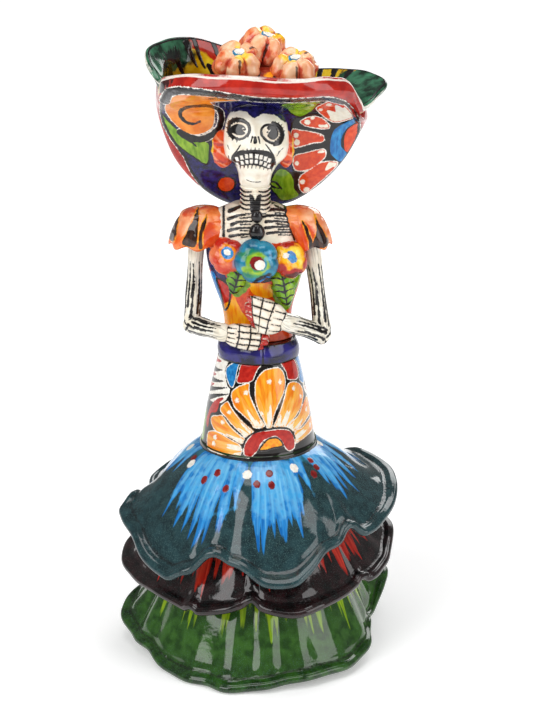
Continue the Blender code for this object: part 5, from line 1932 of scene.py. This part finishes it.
@dataclass
class Flounce:
    """A ruffled clay slab round the skirt with a rolled rim, painted in strokes that run down its folds."""

    node: str
    collar: float
    hem: Sequence[tuple[float, float, float]]
    folds: Sequence[tuple[float, float, float]]
    ground: Glaze
    paint: Callable[[Field, Field, Field], list[Coat]]
    pleats: float = 0.0
    speckle: float = 0.35
    around: int = 470
    section: int = 200
    wall: float = 4.0

    def _sheet(self, turn: Field, out: Field) -> Points:
        """The underside of the slab.

        Args:
            turn: angle round the skirt.
            out: 0 at the collar, 1 at the hem.

        Returns:
            Points in millimetres.
        """
        degrees = np.degrees(turn)
        reach, height = round_table(degrees, self.hem, 1), round_table(degrees, self.hem, 2)
        mean_reach = float(np.mean([r[1] for r in self.hem]))
        mean_low = float(np.mean([r[2] for r in self.hem]))
        start = float(Skirt.pedestal_radius(self.collar)) - 2.5
        ruffle = out**0.8
        droop = 0.55 * out + 1.05 * out**2 - 0.6 * out**4
        end = mean_reach + (reach - mean_reach) * ruffle
        low = mean_low + (height - mean_low) * ruffle
        radius = start + (end - start) * out
        z = self.collar + (low - self.collar) * droop
        for at, wide, deep in self.folds:
            away = (degrees - at + 180) % 360 - 180
            z = z - deep * hill(away, wide) * ease(out, 0.25, 0.9)
        middle = np.sin(out * math.pi)
        z = z + middle * (0.55 * np.sin(turn * 7 + out * 5 + 0.3) + 0.3 * np.sin(turn * 13 - out * 11))
        if self.pleats:
            swing = np.sin(degrees * math.radians(20) + 0.7 * np.sin(turn * 5))
            swell = 0.6 + 0.4 * np.sin(turn * 4 + 1.0)
            z = z + self.pleats * swing * swell * ease(out, 0.15, 0.5) * ease(1 - out, 0.04, 0.3)
            radius = radius + 0.3 * self.pleats * swing * ease(out, 0.5, 1)
        return np.stack([radius * np.sin(turn), -radius * np.cos(turn), z], -1)

    def build(self) -> None:
        """Shapes and paints the flounce."""
        blank = ring_blank(f"painted_{self.node}", self.around, self.section)
        turn, around = blank.turn, blank.share
        bead = 0.42
        top = around > 0
        size = np.abs(around)
        out = np.clip((math.pi - size) / (math.pi - bead), 0, 1)
        out = np.where(top, out**0.9, out**1.1)
        roll = np.clip(1 - size / bead, 0, 1)
        d = 0.003
        sheet = self._sheet(turn, out)
        along = self._sheet(turn, np.minimum(out + d, 1)) - self._sheet(turn, np.minimum(out + d, 1) - 2 * d)
        sweep = self._sheet(turn + d, out) - self._sheet(turn - d, out)
        along /= np.linalg.norm(along, axis=1, keepdims=True)
        normal = np.cross(sweep, along)
        normal /= np.linalg.norm(normal, axis=1, keepdims=True)
        normal *= np.sign(normal[:, 2:3])
        edge = (1 - out) * 52.0
        level = np.where(top, 1.0, -1.0) * np.cos(roll * math.pi / 2)
        half = self.wall / 2 * (1 + 0.3 * hill(edge - 1.6, 2.6))
        middle = sheet + normal * (self.wall / 2)
        skin = half * level + np.where(top, -0.75 * hill(edge - 6.8, 2.4), 0.0)
        points = middle + normal * skin[:, None] + along * (half * np.sin(roll * math.pi / 2))[:, None]
        points[:, 2] = np.maximum(points[:, 2], 0.15 + 0.05 * np.cos(around))
        write_points(blank.piece, points)
        radius = np.hypot(points[:, 0], points[:, 1])
        degrees = np.degrees(turn)
        coats = self.paint(degrees, radius, np.where(top | (size < bead), edge, -FAR))
        finish = PaintedFinish(f"{self.node}_glaze", self.ground, coats, roughness=0.06,
            speckle=self.speckle, unevenness=0.3)
        flow = np.stack([np.sin(turn) * 62, np.cos(turn) * 62, radius * 0.14], -1)
        fire(blank.piece, self.node, finish, flow)


def polar_stroke(degrees: Field, radius: Field, start: tuple[float, float], end: tuple[float, float],
        wide: float, tip: float) -> Field:
    """One pull of the brush down a flounce.

    Args:
        degrees: angle round from the front.
        radius: distance from the axis.
        start: angle and distance where it starts.
        end: angle and distance where it ends.
        wide: half its width where it starts.
        tip: half its width where it ends.

    Returns:
        Distance from its edge, below nought inside.
    """
    middle = (start[0] + end[0]) / 2
    away = (degrees - middle + 180) % 360 - 180
    u = np.radians(away) * radius
    a = math.radians(start[0] - middle) * start[1]
    b = math.radians(end[0] - middle) * end[1]
    return stroke(u, radius, ((a, start[1]), (b, end[1])), wide, tip)


def polar_spot(degrees: Field, radius: Field, at: tuple[float, float], size: float) -> Field:
    """A dab on a flounce at an angle and a distance from the axis."""
    away = np.radians((degrees - at[0] + 180) % 360 - 180) * at[1]
    return spot(away, radius, (0, at[1]), size, size * 0.9)


def paint_top_flounce(degrees: Field, radius: Field, edge: Field) -> list[Coat]:
    """Paints the top flounce: bright blue flames and dots over speckled teal.

    Args:
        degrees: angle round from the front.
        radius: distance from the axis.
        edge: distance from the rim, far below nought underneath.

    Returns:
        The coats in the order that they are laid.
    """
    tips = [(-57.5, 68.5), (-52, 66), (-47, 70), (-42.5, 69.5), (-36, 72.5), (-31, 75), (-27, 73.5),
        (-20, 71), (-13.5, 60.5), (-1, 72.5), (3.5, 74.5), (8, 69), (11.5, 70.5), (14.5, 73), (18, 67),
        (22.5, 70), (27, 64.5), (36, 56), (52, 57), (56, 59), (58.5, 64.5), (65, 62), (71, 65), (79, 62),
        (88.5, 63), (-75, 56), (-82, 58), (-88, 55)]
    for group in (112, 150, 190, 228, 262):
        for k, reach in enumerate((56, 66, 70, 73, 69, 71, 64, 57)):
            tips.append((group - 13 + 4 * k, reach))
    flames, lights = [], []
    for k, (angle, reach) in enumerate(tips):
        root = 39 + 2.0 * math.sin(k * 1.7)
        turned = angle + 1.2 * math.sin(k * 2.3)
        flames.append(polar_stroke(degrees, radius, (angle, root), (angle, reach - 12), 3.6, 2.7))
        flames.append(polar_stroke(degrees, radius, (angle, reach - 12.5), (turned, reach), 2.7, 0.15))
        lights.append(
            polar_stroke(degrees, radius, (angle + 1.2, root + 3 + 3 * (k % 3)), (angle + 0.6, reach - 6),
                0.9, 0.2)
        )
    whites = ((87.5, 37.5), (31, 42), (-8.5, 44), (-62.5, 46), (120, 43), (158, 42), (200, 44), (240, 42),
        (272, 42))
    garnets = ((-41, 49.5), (-33, 45), (-22, 51), (-1, 48.5), (9.5, 49), (9, 43.5), (50.5, 41),
        (50.5, 45.5), (44.5, 48), (-66, 43), (110, 50), (134, 46), (146, 50), (171, 46), (182, 51),
        (212, 46), (222, 51), (252, 47))
    hide = NEVER * (edge < -1)
    return [
        Coat(LAGOON, radius - 42 - 1.5 * np.cos(np.radians(degrees * 13)) + hide, 2.5, 3.0, Brush.STREAK,
            0.6),
        Coat(SKY, join(*flames) + hide, 0.55, 0.35, Brush.STREAK),
        Coat(ICE, within(join(*flames) + 1.4, radius - 62) + hide, 3.0, 2.4, Brush.BLOTCH, 0.55),
        Coat(ICE, join(*lights) + hide, 0.9, 0.8, Brush.STREAK, 0.7),
        Coat(GARNET, join(*[polar_spot(degrees, radius, at, 2.1) for at in garnets]), 0.3, 0.3),
        Coat(CHALK, join(*[polar_spot(degrees, radius, at, 2.7) for at in whites]), 0.3, 0.3),
        # Painted shade: a dark line in the crease just inside the rim.
        Coat(INK, np.abs(edge - 6.2) - 0.6, 0.7, 1.2, Brush.LOADED, 0.6),
    ]


def paint_middle_flounce(degrees: Field, radius: Field, edge: Field) -> list[Coat]:
    """Paints the middle flounce: red strokes over brown-black.

    Args:
        degrees: angle round from the front.
        radius: distance from the axis.
        edge: distance from the rim, far below nought underneath.

    Returns:
        The coats in the order that they are laid.
    """
    strokes = []
    for k in range(80):
        angle = k * 4.5 + 1.2 * math.sin(k * 2.1)
        reach = 70 + 2.5 * math.sin(k * 1.9) + 2.0 * math.sin(k * 0.7)
        strokes.append(polar_stroke(degrees, radius, (angle, 47), (angle, reach - 8), 3.0, 2.3))
        strokes.append(polar_stroke(degrees, radius, (angle, reach - 8.5), (angle, reach), 2.3, 0.15))
    hide = NEVER * (edge < -1)
    return [
        Coat(GARNET, radius - 58 + hide, 6.0, 5.0, Brush.STREAK, 0.6),
        Coat(SCARLET, join(*strokes) + hide, 0.8, 0.5, Brush.STREAK),
        # Painted shade: a dark line in the crease just inside the rim.
        Coat(INK, np.abs(edge - 6.2) - 0.6, 0.7, 1.2, Brush.LOADED, 0.6),
    ]


def paint_bottom_flounce(degrees: Field, radius: Field, edge: Field) -> list[Coat]:
    """Paints the bottom flounce: lime strokes over mottled dark green.

    Args:
        degrees: angle round from the front.
        radius: distance from the axis.
        edge: distance from the rim, far below nought underneath.

    Returns:
        The coats in the order that they are laid.
    """
    strokes = []
    for k in range(72):
        angle = k * 5 + 1.3 * math.sin(k * 2.7)
        reach = 66 + 3.0 * math.sin(k * 1.3) + 1.5 * math.sin(k * 2.9)
        strokes.append(polar_stroke(degrees, radius, (angle, 52), (angle, reach - 7), 2.6, 1.9))
        strokes.append(polar_stroke(degrees, radius, (angle, reach - 7.5), (angle, reach), 1.9, 0.15))
    hide = NEVER * (edge < -1)
    return [
        Coat(Glaze("bottle", "264C16", "44742A"), np.abs(radius - 70) - 5 + hide, 6.0, 7.0, Brush.BLOTCH,
            0.65),
        Coat(LIME, join(*strokes) + hide, 1.0, 0.7, Brush.STREAK, 0.9),
        # Painted shade: a dark line in the crease just inside the rim.
        Coat(INK, np.abs(edge - 6.2) - 0.6, 0.7, 1.2, Brush.LOADED, 0.6),
    ]


# ---------------------------------------------------------------- the studio


@dataclass
class Studio:
    """The pale floor, the soft lights and the camera."""

    distance: float = 1.1
    eye_height: float = 0.54
    aim_height: float = 0.185
    sideways: float = 0.005
    lens: float = 96.3

    def _aim(self, thing: bpy.types.Object, at: tuple[float, float, float]) -> None:
        """Turns a light or the camera towards a point."""
        way = np.array(at) - np.array(thing.location)
        flat = math.hypot(way[0], way[1])
        thing.rotation_euler = (math.atan2(flat, -way[2]), 0, math.atan2(-way[0], way[1]))

    def _softbox(self, name: str, at: tuple[float, float, float], size: tuple[float, float], watts: float
    ) -> None:
        """Hangs one soft light aimed at the figure.

        Args:
            name: the light's name.
            at: where it hangs, in metres.
            size: its width and height.
            watts: its power.
        """
        lamp = bpy.data.lights.new(name, "AREA")
        lamp.shape, lamp.size, lamp.size_y, lamp.energy = "RECTANGLE", size[0], size[1], watts
        box = bpy.data.objects.new(name, lamp)
        bpy.context.scene.collection.objects.link(box)
        box.location = at
        self._aim(box, (0, 0, 0.17))

    def build(self) -> None:
        """Sets the floor, the lights and the camera."""
        bpy.ops.object.select_all(action="DESELECT")
        bpy.ops.mesh.primitive_plane_add(size=8, location=(0, 0, 0))
        floor = bpy.context.object
        floor.name = "studio_floor"
        paper = bpy.data.materials.new("studio_paper")
        paper.use_nodes = True
        tree = paper.node_tree
        grain = tree.nodes.new("ShaderNodeTexNoise")
        grain.inputs["Scale"].default_value = 6
        mix = tree.nodes.new("ShaderNodeMix")
        mix.data_type = "RGBA"
        mix.inputs[6].default_value = (0.93, 0.93, 0.93, 1)
        mix.inputs[7].default_value = (0.96, 0.96, 0.96, 1)
        tree.links.new(grain.outputs["Fac"], mix.inputs["Factor"])
        tree.links.new(mix.outputs[2], tree.nodes["Principled BSDF"].inputs["Base Color"])
        shader = tree.nodes["Principled BSDF"]
        shader.inputs["Roughness"].default_value = 0.9
        shader.inputs["Emission Color"].default_value = (1, 1, 1, 1)
        place = tree.nodes.new("ShaderNodeTexCoord").outputs["Object"]
        away = tree.nodes.new("ShaderNodeVectorMath")
        away.operation = "LENGTH"
        tree.links.new(place, away.inputs[0])
        glow = tree.nodes.new("ShaderNodeMapRange")
        glow.inputs["From Min"].default_value, glow.inputs["From Max"].default_value = 0.25, 1.3
        glow.inputs["To Min"].default_value, glow.inputs["To Max"].default_value = 0.3, 0.85
        tree.links.new(away.outputs["Value"], glow.inputs["Value"])
        tree.links.new(glow.outputs["Result"], shader.inputs["Emission Strength"])
        floor.data.materials.append(paper)
        world = bpy.data.worlds.new("studio_air")
        world.use_nodes = True
        world.node_tree.nodes["Background"].inputs["Color"].default_value = (1, 1, 1, 1)
        world.node_tree.nodes["Background"].inputs["Strength"].default_value = 0.22
        bpy.context.scene.world = world
        self._softbox("key_softbox", (-0.75, -0.8, 0.85), (0.8, 0.9), 8.6)
        self._softbox("fill_softbox", (0.95, -0.6, 0.6), (0.6, 0.9), 4.8)
        self._softbox("top_softbox", (0.0, -0.15, 1.15), (0.7, 0.6), 4)
        self._softbox("back_softbox", (0.4, 0.9, 0.7), (0.6, 0.6), 4)
        scene = bpy.context.scene
        scene.view_settings.view_transform = "Standard"
        camera = bpy.data.cameras.new("studio_camera")
        camera.lens, camera.sensor_width, camera.sensor_fit = self.lens, 36, "AUTO"
        eye = bpy.data.objects.new("studio_camera", camera)
        scene.collection.objects.link(eye)
        eye.location = (self.sideways, -self.distance, self.eye_height)
        self._aim(eye, (self.sideways, 0, self.aim_height))
        scene.camera = eye
        LOG.info("studio: floor, 4 lights, camera")


TOP_HEM = ((-115, 72.5, 92), (-94, 70.2, 91.9), (-86, 78.9, 93), (-82, 83.6, 89), (-75, 84.4, 86),
    (-65, 82.5, 81), (-54, 84.3, 73), (-44, 83.8, 68), (-38, 83.8, 67), (-31, 81.9, 74), (-25, 79.2, 78),
    (-15, 76.5, 83), (-6, 79.4, 78), (2, 84, 71), (8, 85.8, 70), (15, 85.9, 71), (23, 81.7, 77),
    (32, 75.6, 85), (41, 74.3, 87), (48, 72.6, 90), (52, 76.4, 86.5), (58, 78.5, 86), (70, 80.5, 89),
    (83, 82.8, 92), (97, 85.2, 97), (110, 86.3, 99), (126, 80, 103), (152, 85, 88), (176, 74, 97),
    (200, 86, 84), (222, 74, 95))
MIDDLE_HEM = ((-97, 82.3, 55), (-86, 82.9, 51), (-74, 79, 48), (-52, 74.3, 47), (-36, 74.3, 45),
    (-31, 76, 45), (-14, 78.5, 50), (-3, 76, 53.5), (4, 80, 51.5), (14, 85.4, 50), (26, 83.5, 52),
    (40, 78.7, 53), (54, 76.5, 54.5), (60, 79, 55), (73, 80, 56.5), (90, 81.6, 61.5), (100, 83.9, 66),
    (122, 73, 64), (145, 84, 52), (168, 73, 62), (192, 84, 50), (216, 73, 62), (238, 82, 54), (251, 76, 60))
BOTTOM_HEM = ((-93, 83.6, 17), (-88, 84.4, 14.6), (-79, 81.4, 9.8), (-57, 76.6, 5.6), (-46, 77.4, 1.5),
    (-33, 79, 1), (-23, 79.4, 1.3), (-15, 83, 1), (-6, 82.4, 1.4), (5, 80.3, 3), (19, 79.3, 5), (33, 79, 5),
    (50, 77.6, 5), (63, 75, 9), (78, 68.3, 12), (94, 71.6, 14), (104, 82.3, 23), (111, 86.8, 27),
    (128, 75, 20), (150, 84, 6), (172, 74, 12), (196, 84, 3), (220, 74, 12), (242, 82, 10), (256, 77, 20))


def main() -> None:
    """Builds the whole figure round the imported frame."""
    logging.basicConfig(level=logging.INFO, format="%(name)s: %(message)s")
    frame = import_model()
    LOG.info("frame: %d nodes", len(frame["nodes"]))
    Studio().build()
    Skirt().build()
    folds = ((-94, 3.5, 2.5), (49.5, 3.0, -3.2), (-21, 4.5, -3.6), (-29, 3.5, 2.4), (-13, 3.5, 2.0),
        (36, 6, 1.6))
    Flounce("flounce_top", 126.8, TOP_HEM, folds, TEAL, paint_top_flounce).build()
    Flounce("flounce_middle", 101, MIDDLE_HEM, ((-31, 2.2, -3.0), (-3, 2.0, -3.4), (54, 2.2, -3.2)),
        OXBLOOD, paint_middle_flounce, 0.6, 0.15).build()
    Flounce("flounce_bottom", 62, BOTTOM_HEM, ((77, 4, -1.8),), MOSS, paint_bottom_flounce, 2.2, 0.3).build()
    Bodice().build()
    Arm("left", -1, (-20, -20.7, 205.8), (6.8, -22.7, 201.9), 15.4).build()
    Arm("right", 1, (15.8, -22.2, 213.2), (-10.4, -23.2, 221.0), 21.5, 1.1, 0.5).build()
    hat = Hat()
    Head(hat).build()
    hat.build()


if __name__ == "__main__":
    main()
